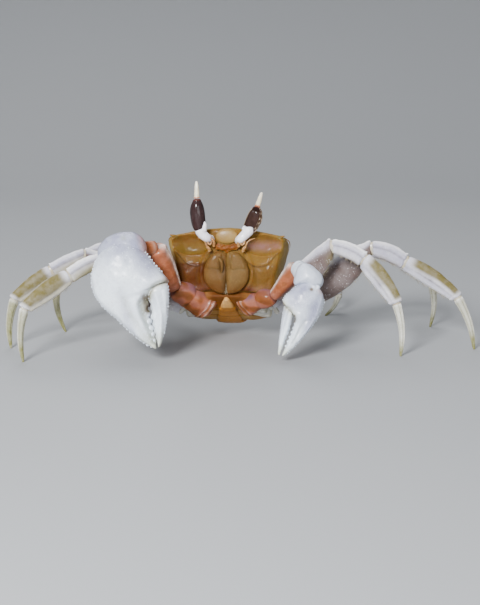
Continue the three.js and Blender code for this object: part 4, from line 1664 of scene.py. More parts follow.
@dataclass(frozen=True)
class WalkingLeg:
    """One walking leg: four hard pieces, the soft skin between them and the base against the body."""

    side: Side
    number: int
    tip_flat: float = 0.6
    grain_pitch: float = 0.62
    fine_grains: int = 260
    fine_grain: tuple[float, float] = (0.05, 0.09)
    thorn: tuple[float, float, float] = (1.0, 0.55, 0.42)
    skin_shares: tuple = ((1.0, 0.5), (0.92, 0.6), (1.15, 0.62))

    @property
    def size(self) -> LegSize:
        """Gives the sizes of this leg's pair."""
        return LEG_SIZES[self.number]

    @property
    def pose(self) -> LegPose:
        """Gives this leg's stance."""
        return LEG_POSES[self.side][self.number]

    @property
    def stained(self) -> float:
        """Gives 1 for the yellower legs, which are the crab's right ones."""
        return float(self.side is Side.RIGHT)

    @property
    def far(self) -> float:
        """Gives 1 for the legs behind the first pair, which get painted shade: more lilac, less pale and more
        olive on the tips.
        """
        return float(self.number > 2)

    @property
    def brown(self) -> tuple[float, float]:
        """Gives how brown the long upper piece is, and how many degrees off its top that starts."""
        return 0.95 if self.number < 4 else 0.45, 48.0 if self.number == 2 else 30.0

    def joints(self) -> list[np.ndarray]:
        """Works out the leg's stance.

        Returns:
            Its five joints in the standing frame.
        """
        x, y, z = self.size.coxa
        start = body_to_standing(np.array([self.side.value * x, y, z]))
        pose = self.pose
        outer = (pose.knee, pose.wrist, pose.ankle, (pose.tip, 0.0))
        return [start, *(start * [1, 1, 0] + reach * self.outward() + height * UP for reach, height in outer)]

    def outward(self) -> np.ndarray:
        """Gives the level direction in which the leg points."""
        turn = math.radians(self.pose.heading)
        return np.array([math.cos(turn), math.sin(turn), 0.0])

    def limbs(self) -> dict[LegPiece, Limb]:
        """Gives the plain shapes of the four hard pieces.

        Returns:
            Each piece's plain shape.
        """
        joints = self.joints()
        bend = self.pose.arch
        sags = (self.size.sag, -CARPUS.arch * bend, -PROPODUS.arch * bend, -DACTYL.arch)
        made = {}
        for i, part in enumerate((MERUS, CARPUS, PROPODUS, DACTYL)):
            size = getattr(self.size, part.piece.value)
            heights = [share * size for share in part.shares]
            if part is MERUS:
                heights.append(self.size.knee)
            direction = unit(joints[i + 1] - joints[i])
            high = float(direction @ self.outward()) * UP - direction[2] * self.outward()
            thick = [max(height * part.flatness, self.tip_flat) for height in heights]
            made[part.piece] = Limb(
                joints[i], joints[i + 1], high, tuple(heights), tuple(thick), sags[i],
                start_plane=mitre(*joints[i - 1:i + 2]) if i > 0 else None,
                end_plane=mitre(*joints[i:i + 3]) if i < 3 else None,
                soft_start=0.9, soft_end=0.9 if i < 3 else 0.0, narrow=0.66,
            )
        return made

    def node(self, name: str) -> str:
        """Gives the construction node of one of the leg's pieces."""
        return f"leg_{self.side.word}_{self.number}_{name}"

    def shell(self, part: LegPart, limb: Limb) -> tuple[Surface, np.ndarray, np.ndarray]:
        """Makes a piece's shell with its ridges, rim and unevenness.

        Args:
            part: What the piece shares with the other legs.
            limb: Its plain shape.

        Returns:
            The shell, and for each ring point its place along the leg and its angle on a left leg.
        """
        t, angle = limb.grid(*part.grid)
        turned = self.side.value * angle
        high, place, width = part.rim
        lift = sum(ridge.lift(turned) for ridge in part.ridges) + high * hump(t, place, width)
        lift += part.wave * np.sin(t * 46) * crest(turned, 90, 45) * hump(t, 0.55, 0.3)
        depth, size, seed = part.relief
        surface = rings_surface(limb.at(t, angle, lift)).roughened(depth, size, seed + self.number)
        return surface, t, turned

    def grains(self, part: LegPart, limb: Limb) -> Surface:
        """Sets a piece's rows of grains.

        Args:
            part: What the piece shares with the other legs.
            limb: Its plain shape.

        Returns:
            The grains, masked pale.
        """
        sets = []
        for row in part.rows:
            degrees = row.degrees * (self.side.value if row.mirrored else 1)
            pitch = self.grain_pitch * (0.6 + row.radius)
            places = limb.row(row.low, row.high, pitch, degrees, -0.35 * row.radius)
            sets.append(row_beads(places, row.radius, 0.75, 2.4))
        return joined(sets).toned(pale=0.9)

    def merus(self, limb: Limb) -> Surface:
        """Makes the long upper piece, ridged above and grained below.

        Args:
            limb: Its plain shape.

        Returns:
            The piece.
        """
        surface, t, angle = self.shell(MERUS, limb)
        off_top = off_angle(angle, 0)
        share, first = self.brown
        shady = smooth(first, first + 40, off_top + 12 * np.sin(t * 9 + self.number))
        surface.ring_masked(
            # brown away from the top: partly the shell's colour, partly painted shade on the lower side
            brown=share * shady * smooth(0.04, 0.25, t),
            # lilac: painted shade, strongest on the sides
            lilac=0.5 * hump(off_top, 62, 26) + 0.2,
            pale=0.8 * smooth(34, 8, off_top) + 0.5 * crest(angle, 180, 14),
            olive=0.6 * smooth(80, 130, off_top) * smooth(0.84, 0.95, t),
            dark=0.6 * smooth(0.975, 0.995, t) + 0.5 * smooth(0.05, 0.0, t),
        )
        return joined([surface, self.grains(MERUS, limb), self.sprinkled(limb)])

    def sprinkled(self, limb: Limb) -> Surface:
        """Scatters fine grains over the front face of the long upper piece.

        Args:
            limb: Its plain shape.

        Returns:
            The grains, masked pale.
        """
        least, more = self.fine_grain
        t, turn, size = np.random.default_rng(SEED + self.number).random((3, self.fine_grains))
        degrees = self.side.value * (27 + 135 * turn)
        places = limb.at(0.08 + 0.86 * t, np.radians(degrees))
        return beads(places, least + more * size**2, 6).toned(pale=0.8)

    def carpus(self, limb: Limb) -> Surface:
        """Makes the short knee piece, with two long ridges and a spine at its outer end.

        Args:
            limb: Its plain shape.

        Returns:
            The piece.
        """
        surface, t, angle = self.shell(CARPUS, limb)
        off_top = off_angle(angle, 0)
        surface.ring_masked(
            # lilac: painted shade on the sides, heavier on the far legs
            lilac=0.75 * hump(off_top, 80, 36) + 0.45 * self.far,
            # pale top, with less of it on the far legs as painted shade
            pale=(0.8 - 0.4 * self.far) * smooth(38, 10, off_top),
            brown=(0.5 + 0.3 * self.stained) * smooth(105, 150, off_top),
            dark=0.5 * crest(angle, 76.5, 7) + 0.6 * smooth(0.97, 0.995, t),
            cream=0.5 * smooth(0.06, 0.0, t) + 0.6 * self.stained * smooth(60, 100, off_top),
            olive=0.85 * self.stained * smooth(75, 115, off_top) * hump(t, 0.45, 0.45),
        )
        outward, upward, radius = self.thorn
        root = limb.at(np.array(0.9), np.array(0.0), -0.3)
        tip = root + unit(limb.end - limb.start) * outward + unit(limb.up) * upward
        return joined([surface, spine(root, tip, radius).toned(pale=1.0), self.grains(CARPUS, limb)])

    def propodus(self, limb: Limb) -> Surface:
        """Makes the flat lower piece, with a stained face and a saw edge below.

        Args:
            limb: Its plain shape.

        Returns:
            The piece.
        """
        surface, t, angle = self.shell(PROPODUS, limb)
        off_top = off_angle(angle, 0)
        last = 98 + 20 * self.stained
        patch = smooth(last, last - 28, off_top + 4 * np.sin(t * 7 + self.number))
        surface.ring_masked(
            olive=patch * smooth(0.02, 0.2, t) * smooth(1.0, 0.88, t),
            cream=0.8 * self.stained * smooth(80, 120, off_top),
            dark=0.7 * crest(angle, 100.8, 7) * hump(t, 0.5, 0.35) + 0.5 * smooth(0.975, 0.995, t),
            # lilac: painted shade low on the face, by the near joint and on the far legs
            lilac=0.5 * hump(off_top, 120, 25) + 0.3 * smooth(0.3, 0.0, t) + 0.25 * self.far,
            pale=0.2 * smooth(10, 2, off_top) + 0.9 * smooth(148, 165, off_top),
        )
        return joined([surface, self.grains(PROPODUS, limb)])

    def dactyl(self, limb: Limb) -> Surface:
        """Makes the tapering tip, keeled above and grooved on both faces, on its small flat.

        Args:
            limb: Its plain shape.

        Returns:
            The piece.
        """
        t, angle = limb.grid(*DACTYL.grid)
        fade = smooth(1.0, 0.7, t)
        points = limb.at(t, angle, sum(ridge.lift(angle) for ridge in DACTYL.ridges) * fade)
        forward = self.outward()
        flat = np.cos(angle)[..., None] * forward - np.sin(angle)[..., None] * np.cross(UP, forward)
        settle = (smooth(0.88, 1.0, t) ** 2)[..., None]
        surface = rings_surface(points * (1 - settle) + (limb.end + self.tip_flat / 2 * flat) * settle)
        grooves = sum(crest(angle, ridge.degrees, 14) for ridge in DACTYL.ridges if ridge.height < 0)
        return surface.ring_masked(
            groove=grooves * fade,
            # olive towards the tip and on the right legs; the extra olive on the far legs is painted shade
            olive=smooth(0.58, 0.97, t) + 0.6 * self.stained + 0.3 * self.far,
            pale=0.7 * crest(angle, 0, 18) * fade + 0.6 * smooth(0.1, 0.0, t),
        )

    def skin(self) -> Surface:
        """Makes the soft skin that shows in the three outer joints.

        Returns:
            The three pads of skin.
        """
        joints = self.joints()
        parts = []
        for i, size in enumerate((self.size.knee, self.size.carpus, self.size.dactyl)):
            share, flatness = self.skin_shares[i]
            tall = 0.47 * share * size
            axis = unit(joints[i + 1] - joints[i])
            wide = unit(np.cross(axis, UP))
            axes = np.stack([wide, np.cross(wide, axis), axis])
            parts.append(blob(joints[i + 1], axes, (tall * flatness, tall, 0.38 * share * size), 22, 32))
        return joined(parts).toned(rose=0.12)

    def base(self) -> Surface:
        """Makes the two ring-like pieces that join the leg to the body.

        Returns:
            The two pieces.
        """
        x, y, z = self.size.coxa
        inner = body_to_standing(np.array([0.5 * self.side.value * x, 0.86 * y, z + 0.8]))
        outer, knee = self.joints()[:2]
        wide = self.size.merus * 0.42 + 1.2
        up = body_to_standing(UP) - body_to_standing(0 * UP)
        coxa = Limb(
            inner, outer, up, (wide, wide * 1.12, wide * 1.16), (wide * 0.92, wide * 1.1, wide * 1.04),
            squareness=3.0, soft_end=1.2, narrow=0.7,
        )
        ring = Limb(
            outer, outer + unit(knee - outer) * 1.9, up, (wide * 0.9, wide * 0.96, wide * 0.8),
            (wide * 0.62, wide * 0.7, wide * 0.6), soft_start=0.7, soft_end=0.6, narrow=0.72,
        )
        parts = []
        for limb, rows in ((coxa, 40), (ring, 26)):
            t, angle = limb.grid(rows, 48)
            part = rings_surface(limb.at(t, angle, 0.1 * np.sin(angle * 5))).roughened(0.05, 1.8, seed=50)
            part.ring_masked(pale=0.5 - 0.35 * smooth(0.8, 1.0, t), olive=0.15 + 0.6 * hump(t, 0.93, 0.05))
            parts.append(part.toned(cream=0.95))
        return joined(parts)

    def build(self) -> None:
        """Makes every piece of the leg."""
        limbs = self.limbs()
        for make, piece in (
            (self.merus, LegPiece.MERUS), (self.carpus, LegPiece.CARPUS), (self.propodus, LegPiece.PROPODUS),
        ):
            node = self.node(piece.value)
            mesh_object(f"{node}_shell", make(limbs[piece]), LEG, Slot.LEG, (node,))
        tip = self.node("dactyl")
        mesh_object(f"{tip}_tip", self.dactyl(limbs[LegPiece.DACTYL]), TIP, Slot.TIP, (tip,))
        mesh_object(self.node("skin"), self.skin(), SKIN, Slot.LEG)
        mesh_object(self.node("base"), self.base(), LEG, Slot.UNDERSIDE)


# ------------------------------------------------------------------ underside


@dataclass(frozen=True)
class Thorax:
    """The plates under the body, marked off by grooves."""

    box: RoundedBox = RoundedBox(
        front=-12.1, back=16.4, squareness=5, half_widths=(9.4, 13.6, 15.2, 15.0, 11.6),
        crown=(-6.8, -7.0, -6.9, -6.0, -4.2), arch=(0, 0, 0, 0, 0),
        belly=(-10.8, -12.6, -13.6, -14.0, -12.6), taper=(0.26, 0.16, 0.1, 0.08, 0.1), lean=-0.4,
        brow=-12.6, steps=(120, 110, 34),
    )
    seams: tuple[float, ...] = (-8.4, -3.0, 2.8, 8.0, 12.4)
    seam_depth: float = 0.55
    seam_width: float = 0.45
    arc: float = 0.012

    def build(self) -> None:
        """Makes the underside piece."""
        surface = self.box.surface()
        normals = surface.normals()
        x, y, z = surface.points.T.copy()
        under = smooth(0.2, 0.7, -normals[:, 2])
        bent = y - self.arc * x**2
        side = np.abs(x)
        groove = sum(hump(bent, seam, self.seam_width) for seam in self.seams)
        groove *= under * smooth(2.5, 4.5, side)
        relief = 0.06 * lumps(surface.points, 2.6, 60) - self.seam_depth * groove
        surface.points += normals * relief[:, None]
        surface.masked(
            # dark: the dark seams, and painted shade across the front under the shield's edge
            dark=0.7 * groove + 0.45 * smooth(-8.0, -10.4, y) * smooth(11.0, 7.0, side),
            deep=smooth(-1.0, -8.0, y) * (0.35 + 0.65 * smooth(7.5, 4.0, side)),
            pale=0.25 * (under - groove) * smooth(-6.0, 4.0, y),
            rose=0.7 * smooth(-2.0, -9.0, y) * hump(side, 9.0, 3.0),
        )
        surface.points = body_to_standing(surface.points)
        mesh_object("thorax_plates", surface, UNDERSIDE, Slot.UNDERSIDE, ("thorax",))


@dataclass(frozen=True)
class FoldedTail:
    """The tail, folded under the body: a pale tip and five wider segments that overlap backwards."""

    line: tuple = (
        (-10.9, -10.4), (-5.4, -12.5), (3, -13.6), (10.6, -13.9), (15.6, -12.3), (18.0, -6.7), (18.3, -0.8)
    )
    widths: tuple = (0.9, 5.0, 7.6, 9.0, 11.0, 12.6, 12.0)
    thickness: float = 2.0
    joints: tuple = (0.155, 0.31, 0.46, 0.61, 0.75, 0.88)
    step: float = 0.32
    slope: float = 0.5
    grid: tuple[int, int] = (190, 84)
    squareness: float = 2.8

    def build(self) -> None:
        """Makes the tail piece."""
        t, angle = np.meshgrid(np.linspace(0, 1, self.grid[0]), full_turn(self.grid[1]), indexing="ij")
        ahead = curve(self.line, t + 0.02) - curve(self.line, t - 0.02)
        forward = unit(np.stack([0 * t, ahead[..., 0], ahead[..., 1]], -1))
        out = np.stack([0 * t, forward[..., 2], -forward[..., 1]], -1)
        w, d = section(angle, self.squareness)
        edges = (0.0, *self.joints, 1.0)
        rise = np.zeros_like(t)
        for low, high in zip(edges[:-1], edges[1:]):
            share = (t - low) / (high - low)
            step = smooth(0.0, 0.12, share) - self.slope * smooth(0.5, 1.0, share)
            rise += self.step * step * (t >= low) * (t < high)
        half = curve(self.widths, t) / 2 + 0.35 * (rise / self.step - 0.6)
        half_thick = self.thickness / 2 * np.sqrt(smooth(-0.02, 0.035, t)) + np.maximum(-d, 0) * (rise - 0.2)
        path = curve(self.line, t)
        points = np.stack([half * w, path[..., 0], path[..., 1]], -1) + (half_thick * d)[..., None] * out
        surface = rings_surface(points).roughened(0.04, 2.2, seed=70)
        surface.ring_masked(
            dark=0.75 * sum(hump(t, joint, 0.006) for joint in self.joints),
            pale=0.42 * smooth(0.155, 0.12, t) + 0.15 * smooth(0.4, 0.8, t),
            deep=0.4 * smooth(0.5, 0.7, t) + 0.35 * hump(t, 0.21, 0.03) + 0.3 * crest(angle, 0, 20)
            + 0.3 * crest(angle, 180, 20),
        )
        surface.points = body_to_standing(surface.points)
        mesh_object("tail_plates", surface, TAIL, Slot.TAIL, ("abdomen",))


# ------------------------------------------------------------------ eyes


@dataclass(frozen=True)
class Eye:
    """One raised eye: the stalk, the glossy cornea round it, and the horn on its end.

    A shrunken cornea is fallen in on its front and torn, with painted rim light along the hollow's edge. The
    hollow's angle is in degrees round the cornea, and its depth is a share of the cornea's radius.
    """

    side: Side
    root: tuple[float, float, float]
    bend: tuple[float, float, float]
    top: tuple[float, float, float]
    tip: tuple[float, float, float]
    shrunken: bool
    cornea_widths: tuple = (3.6, 4.6, 5.0, 4.9, 4.2, 2.6)
    horn_widths: tuple = (1.75, 1.65, 1.35, 0.85)
    stalk_radii: tuple = (1.9, 1.45, 1.75, 1.5)
    bulge: float = 0.35
    hollow_angle: float = -94.0
    hollow_share: float = 1.55
    tear_angle: float = -12.0
    rooted: tuple[float, float, float] = (0.9, 4.0, -1.4)

    def joints(self) -> list[np.ndarray]:
        """Gives the eye's four joints in the standing frame."""
        return [np.array(point) for point in (self.root, self.bend, self.top, self.tip)]

    def piece(self, index: int, widths: tuple) -> Limb:
        """Gives the plain shape of one piece.

        Args:
            index: 0 for the stalk, 1 for the cornea, 2 for the horn.
            widths: The piece's widths along it.

        Returns:
            Its plain shape.
        """
        joints = self.joints()
        return Limb(
            joints[index], joints[index + 1], np.array([1.0, 0, 0]), widths, widths, squareness=2.0,
            start_plane=mitre(*joints[index - 1:index + 2]) if index else None,
            end_plane=mitre(*joints[index:index + 3]) if index < 2 else None,
        )

    def stalk(self) -> Surface:
        """Makes the stalk, with a tongue that runs up the inner side of the cornea.

        Returns:
            The stalk.
        """
        root, bend, top, _ = self.joints()
        inner = -self.side.value
        deep = root + np.array(self.rooted) * [inner, 1, 1]
        into, reach = (0.1, 0.16) if self.shrunken else (0.42, 0.34)
        t = np.linspace(0, 1, 60)
        path = curve(np.stack([deep, root, bend, bend + into * (top - bend)]), t)
        neck = tube(path, curve(self.stalk_radii, t), 44).roughened(0.05, 1.6, seed=80)
        neck.masked(deep=0.5 * smooth(root[2] - 0.2, root[2] - 1.6, neck.points[:, 2]))
        t = np.linspace(0, 1, 44)
        across = np.full(len(t), -math.radians(90 - 62 * inner))
        up_line = self.piece(1, self.cornea_widths).at(reach * t - 0.06, across, -0.35 + 0.3 * t - 0.5 * t**4)
        tongue = tube(up_line, (0.6 + reach) * np.sin(math.pi * (0.38 + 0.58 * t)) ** 0.8 + 0.04, 26)
        return joined([neck, tongue])

    def ball(self) -> Surface:
        """Makes the cornea.

        Returns:
            The cornea.
        """
        plain = self.piece(1, self.cornea_widths)
        limb = replace(plain, sag=-self.bulge * self.side.value, soft_start=1.5, soft_end=0.5, narrow=0.55)
        t, angle = limb.grid(110, 88)
        lift, scoop, masks = np.zeros_like(t), 0.0, {}
        if self.shrunken:
            lift, scoop, masks = self.collapse(limb, t, angle)
        surface = rings_surface(limb.at(t, angle, lift) - scoop).roughened(0.03, 1.7, seed=83)
        return surface.ring_masked(deep=0.5 * smooth(0.93, 1.0, t) + 0.3 * smooth(0.08, 0.0, t), **masks)

    def collapse(self, limb: Limb, t: np.ndarray, angle: np.ndarray) -> tuple[np.ndarray, np.ndarray, dict]:
        """Works out how a dried cornea has fallen in and torn.

        Args:
            limb: The cornea's plain shape.
            t: The place of each ring point along it.
            angle: Its angle.

        Returns:
            How far each point is lifted and scooped in, and the masks: the torn parts, and pale patches with
            painted rim light along the hollow's edge.
        """
        facing = off_angle(angle, self.hollow_angle)
        fallen = smooth(0.03, 0.16, t) * smooth(0.98, 0.88, t)
        edge = hump(facing, 90, 9) * smooth(0.02, 0.1, t) * smooth(1.0, 0.94, t)
        tear = smooth(58, 34, off_angle(angle, self.tear_angle))
        ragged = 0.5 + 0.5 * np.sin(t * 23 + 2.2 * np.sin(angle * 5)) * np.cos(angle * 7 + t * 9)
        _, high, wide, _ = limb.frame()
        turn = math.radians(self.hollow_angle)
        sunk = self.hollow_share * curve(self.cornea_widths, t) / 2 * fallen * (1 - 0.6 * tear)
        sunk *= np.clip(np.cos(np.radians(facing)), 0, 1)
        scoop = sunk[..., None] * (math.cos(turn) * high + math.sin(turn) * wide)
        # painted rim light along the hollow's edge, and pale ragged patches in the tear
        bare = 0.9 * edge * (1 - 0.7 * tear) + 0.6 * tear * smooth(0.62, 0.95, ragged)
        torn = 0.95 * tear * smooth(0.08, 0.3, t) + 0.3 * fallen
        return 0.2 * edge + 0.4 * tear * (ragged - 0.4), scoop, {"bare": bare, "torn": torn}

    def horn(self) -> Surface:
        """Makes the horn.

        Returns:
            The horn.
        """
        limb = replace(self.piece(2, self.horn_widths), soft_end=0.6, narrow=0.3)
        t, angle = limb.grid(60, 40)
        surface = rings_surface(limb.at(t, angle, 0.14 * hump(t, 0.03, 0.05))).roughened(0.025, 1.3, seed=86)
        return surface.ring_masked(deep=smooth(0.12, 0.03, t), pale=0.6 * smooth(0.4, 0.9, t))

    def build(self) -> None:
        """Makes the eye's three pieces."""
        word = self.side.word
        mesh_object(f"eye_stalk_{word}", self.stalk(), STALK, Slot.STALK, (f"eyestalk_{word}",))
        mesh_object(f"eye_ball_{word}", self.ball(), CORNEA, Slot.CORNEA, (f"cornea_{word}",))
        mesh_object(f"eye_spike_{word}", self.horn(), HORN, Slot.HORN, (f"eye_horn_{word}",))


EYES = (
    Eye(
        Side.RIGHT, root=(-6.5, -14.0, 37.1), bend=(-8.7, -14.0, 39.4), top=(-9.8, -14.0, 50.3),
        tip=(-9.9, -13.4, 56.2), shrunken=False,
    ),
    Eye(
        Side.LEFT, root=(4.9, -14.2, 37.0), bend=(7.2, -13.2, 39.3), top=(10.0, -8.2, 46.7),
        tip=(11.4, -5.2, 51.5), shrunken=True,
    ),
)


# ------------------------------------------------------------------ claws


@dataclass(frozen=True)
class ClawShape:
    """Everything that sets the large claw apart from the small one.

    Outlines, lines and swellings are [along, across] from where the palm meets the wrist, towards
    the finger tips. Teeth are [along, height]. Bulges, heights and thicknesses follow one another
    along their pieces. Root, tip, hip, elbow and cuff are joints in the standing frame.
    """

    name: str
    hand: int
    root: tuple
    tip: tuple
    facing: tuple
    lower: tuple
    upper: tuple
    finger_outer: tuple
    finger_inner: tuple
    palm_bulge: tuple
    finger_bulge: tuple
    hip: tuple
    elbow: tuple
    cuff: tuple
    arm_heights: tuple
    arm_thick: tuple
    base_heights: tuple
    base_thick: tuple
    wrist: tuple[float, float, float]
    wrist_radii: tuple[float, float, float]
    lines: tuple[Line, ...]
    swells: tuple[Swell, ...]
    teeth: tuple[tuple[float, float], ...]
    finger_lines: tuple[Line, ...]
    finger_teeth: tuple[tuple[float, float], ...]
    edge_pitch: float
    denticle: float
    grain: float
    scattered: int
    molar: float
    heel: float
    pit: bool
    # swellings of painted shade, in lilac
    lilac: tuple[Swell, ...]
    rose: tuple[Swell, ...]
    # painted shade in the hollows at the top of the finger gap
    cavity_shade: tuple
    suture: Line
    collar: tuple[tuple, tuple]
    collar_rose: float
    # how much painted shade, in lilac, covers the wrist dome
    dome_lilac_shade: float
    wrist_teeth: tuple
    wrist_outline: tuple


MAJOR = ClawShape(
    name="major", hand=1, root=(-30.9, -30.5, 39.5), tip=(-20.1, -40.4, 5.3), facing=(-0.05, -0.96, 0.26),
    lower=(
        (-1.4, -6.4), (2.0, -9.2), (5.0, -12.2), (9.4, -14.7), (14.2, -15.0), (19.2, -13.4), (24.6, -10.0),
        (29.5, -7.1), (33.8, -4.0), (37.1, -0.9),
    ),
    upper=(
        (-1.4, 0.6), (1.0, 2.0), (3.0, 3.0), (4.8, 3.8), (6.4, 4.7), (8.4, 5.5), (10.4, 6.4), (12.4, 7.3),
        (14.4, 8.2), (16.2, 9.0), (17.4, 8.9), (18.0, 5.6), (20.8, 1.8), (23.6, 0.5), (27.6, 0.0),
        (31.0, -0.1), (33.6, -0.2), (35.6, -0.15), (37.2, -0.1),
    ),
    finger_outer=((14.6, 7.4), (17.8, 8.7), (21.6, 8.2), (25.6, 6.8), (29.6, 5.2), (33.4, 3.2), (36.9, 0.9)),
    finger_inner=((17.6, 1.4), (20.6, 1.4), (23.6, 1.9), (26.6, 1.5), (30.0, 1.0), (33.6, 0.7), (37.0, 0.35)),
    palm_bulge=(4.2, 10.4, 12.8, 13.0, 12.0, 10.0, 7.6, 5.4, 1.8), finger_bulge=(7.0, 7.0, 5.8, 4.2, 1.6),
    hip=(-11.2, -11.2, 15.6), elbow=(-17.4, -15.0, 19.8), cuff=(-23.0, -22.6, 35.0),
    arm_heights=(4.6, 6.2, 7.4, 6.8), arm_thick=(5.0, 6.4, 7.4, 6.6), base_heights=(9.0, 7.0),
    base_thick=(7.0, 6.0), wrist=(3.7, -2.9, -1.3), wrist_radii=(6.2, 8.1, 5.9),
    lines=(
        Line(
            ((17.2, -2.2), (19.4, 0.3), (20.9, -1.0), (23.3, -2.2), (26.6, -2.0), (30.4, -1.4), (34.4, -0.6)),
            0.45, 0.7,
        ),
        Line(((19.5, -5.4), (24.0, -4.9), (29.0, -3.7), (34.0, -2.1)), -0.45, 1.1),
        Line(((22.0, -0.9), (25.0, -1.2), (28.5, -1.0), (32.0, -0.7), (35.0, -0.4)), -0.8, 1.0),
        Line(((17.5, 10.0), (17.2, 8.1), (18.1, 4.8), (20.7, 3.2), (22.0, 0.9)), -0.5, 0.5),
        Line(
            ((8.0, -13.2), (14.0, -13.8), (19.4, -12.2), (24.6, -9.0), (30.0, -5.8), (34.4, -2.9)), 0.28, 0.9
        ),
        Line(((5.0, 5.0), (9.8, 6.4), (14.0, 8.0)), 0.25, 0.7),
    ),
    swells=(
        Swell(8.7, -0.7, 1.2, 1.0, -0.35), Swell(18.4, -4.2, 3.4, 3.0, -0.7), Swell(11.0, -6.0, 6.0, 5.0, 0.4)
    ),
    teeth=((22.6, 0.3), (25.7, 0.8), (28.1, 0.85), (30.3, 0.75), (32.4, 0.6), (34.4, 0.45)),
    finger_lines=(
        Line(((20.6, 4.6), (25.3, 4.7), (30.4, 3.6), (35.9, 1.7)), 0.4, 0.6),
        Line(((20.2, 6.6), (25.6, 6.0), (31.0, 4.4)), -0.35, 0.7),
        Line(((21.6, 3.0), (26.0, 2.9), (31.0, 2.0)), -0.35, 0.6),
    ),
    finger_teeth=((24.0, 0.6), (27.0, 0.7), (29.4, 0.5), (31.6, 0.45), (33.6, 0.35)),
    edge_pitch=1.24, denticle=0.52, grain=0.13, scattered=420, molar=0.85, heel=0.0, pit=True,
    # painted shade, in lilac
    lilac=(
        Swell(2.0, -1.0, 7.0, 9.0, 1.0), Swell(11.0, 5.0, 8.0, 4.0, 0.8), Swell(26.0, -6.0, 8.0, 1.8, 0.6)
    ),
    rose=(Swell(5.2, 5.4, 1.7, 1.3, 1.0), Swell(16.9, 9.6, 1.4, 1.4, 0.8)),
    # painted shade in the hollow at the top of the finger gap
    cavity_shade=(Line(((20.8, 1.1), (22.0, 0.6), (23.4, 0.3), (24.6, 0.2)), 1.1, 1.35),),
    # the wrist dome is fully covered by painted shade, in lilac
    collar=((4.4, 5.6, 7.6), (4.4, 5.6, 7.4)), collar_rose=1.0, dome_lilac_shade=1.0,
    wrist_teeth=(), wrist_outline=(),
    suture=Line(((17.6, 8.6), (17.9, 6.6), (18.6, 4.6), (19.9, 3.0), (21.4, 1.8)), 1.0, 0.3),
)
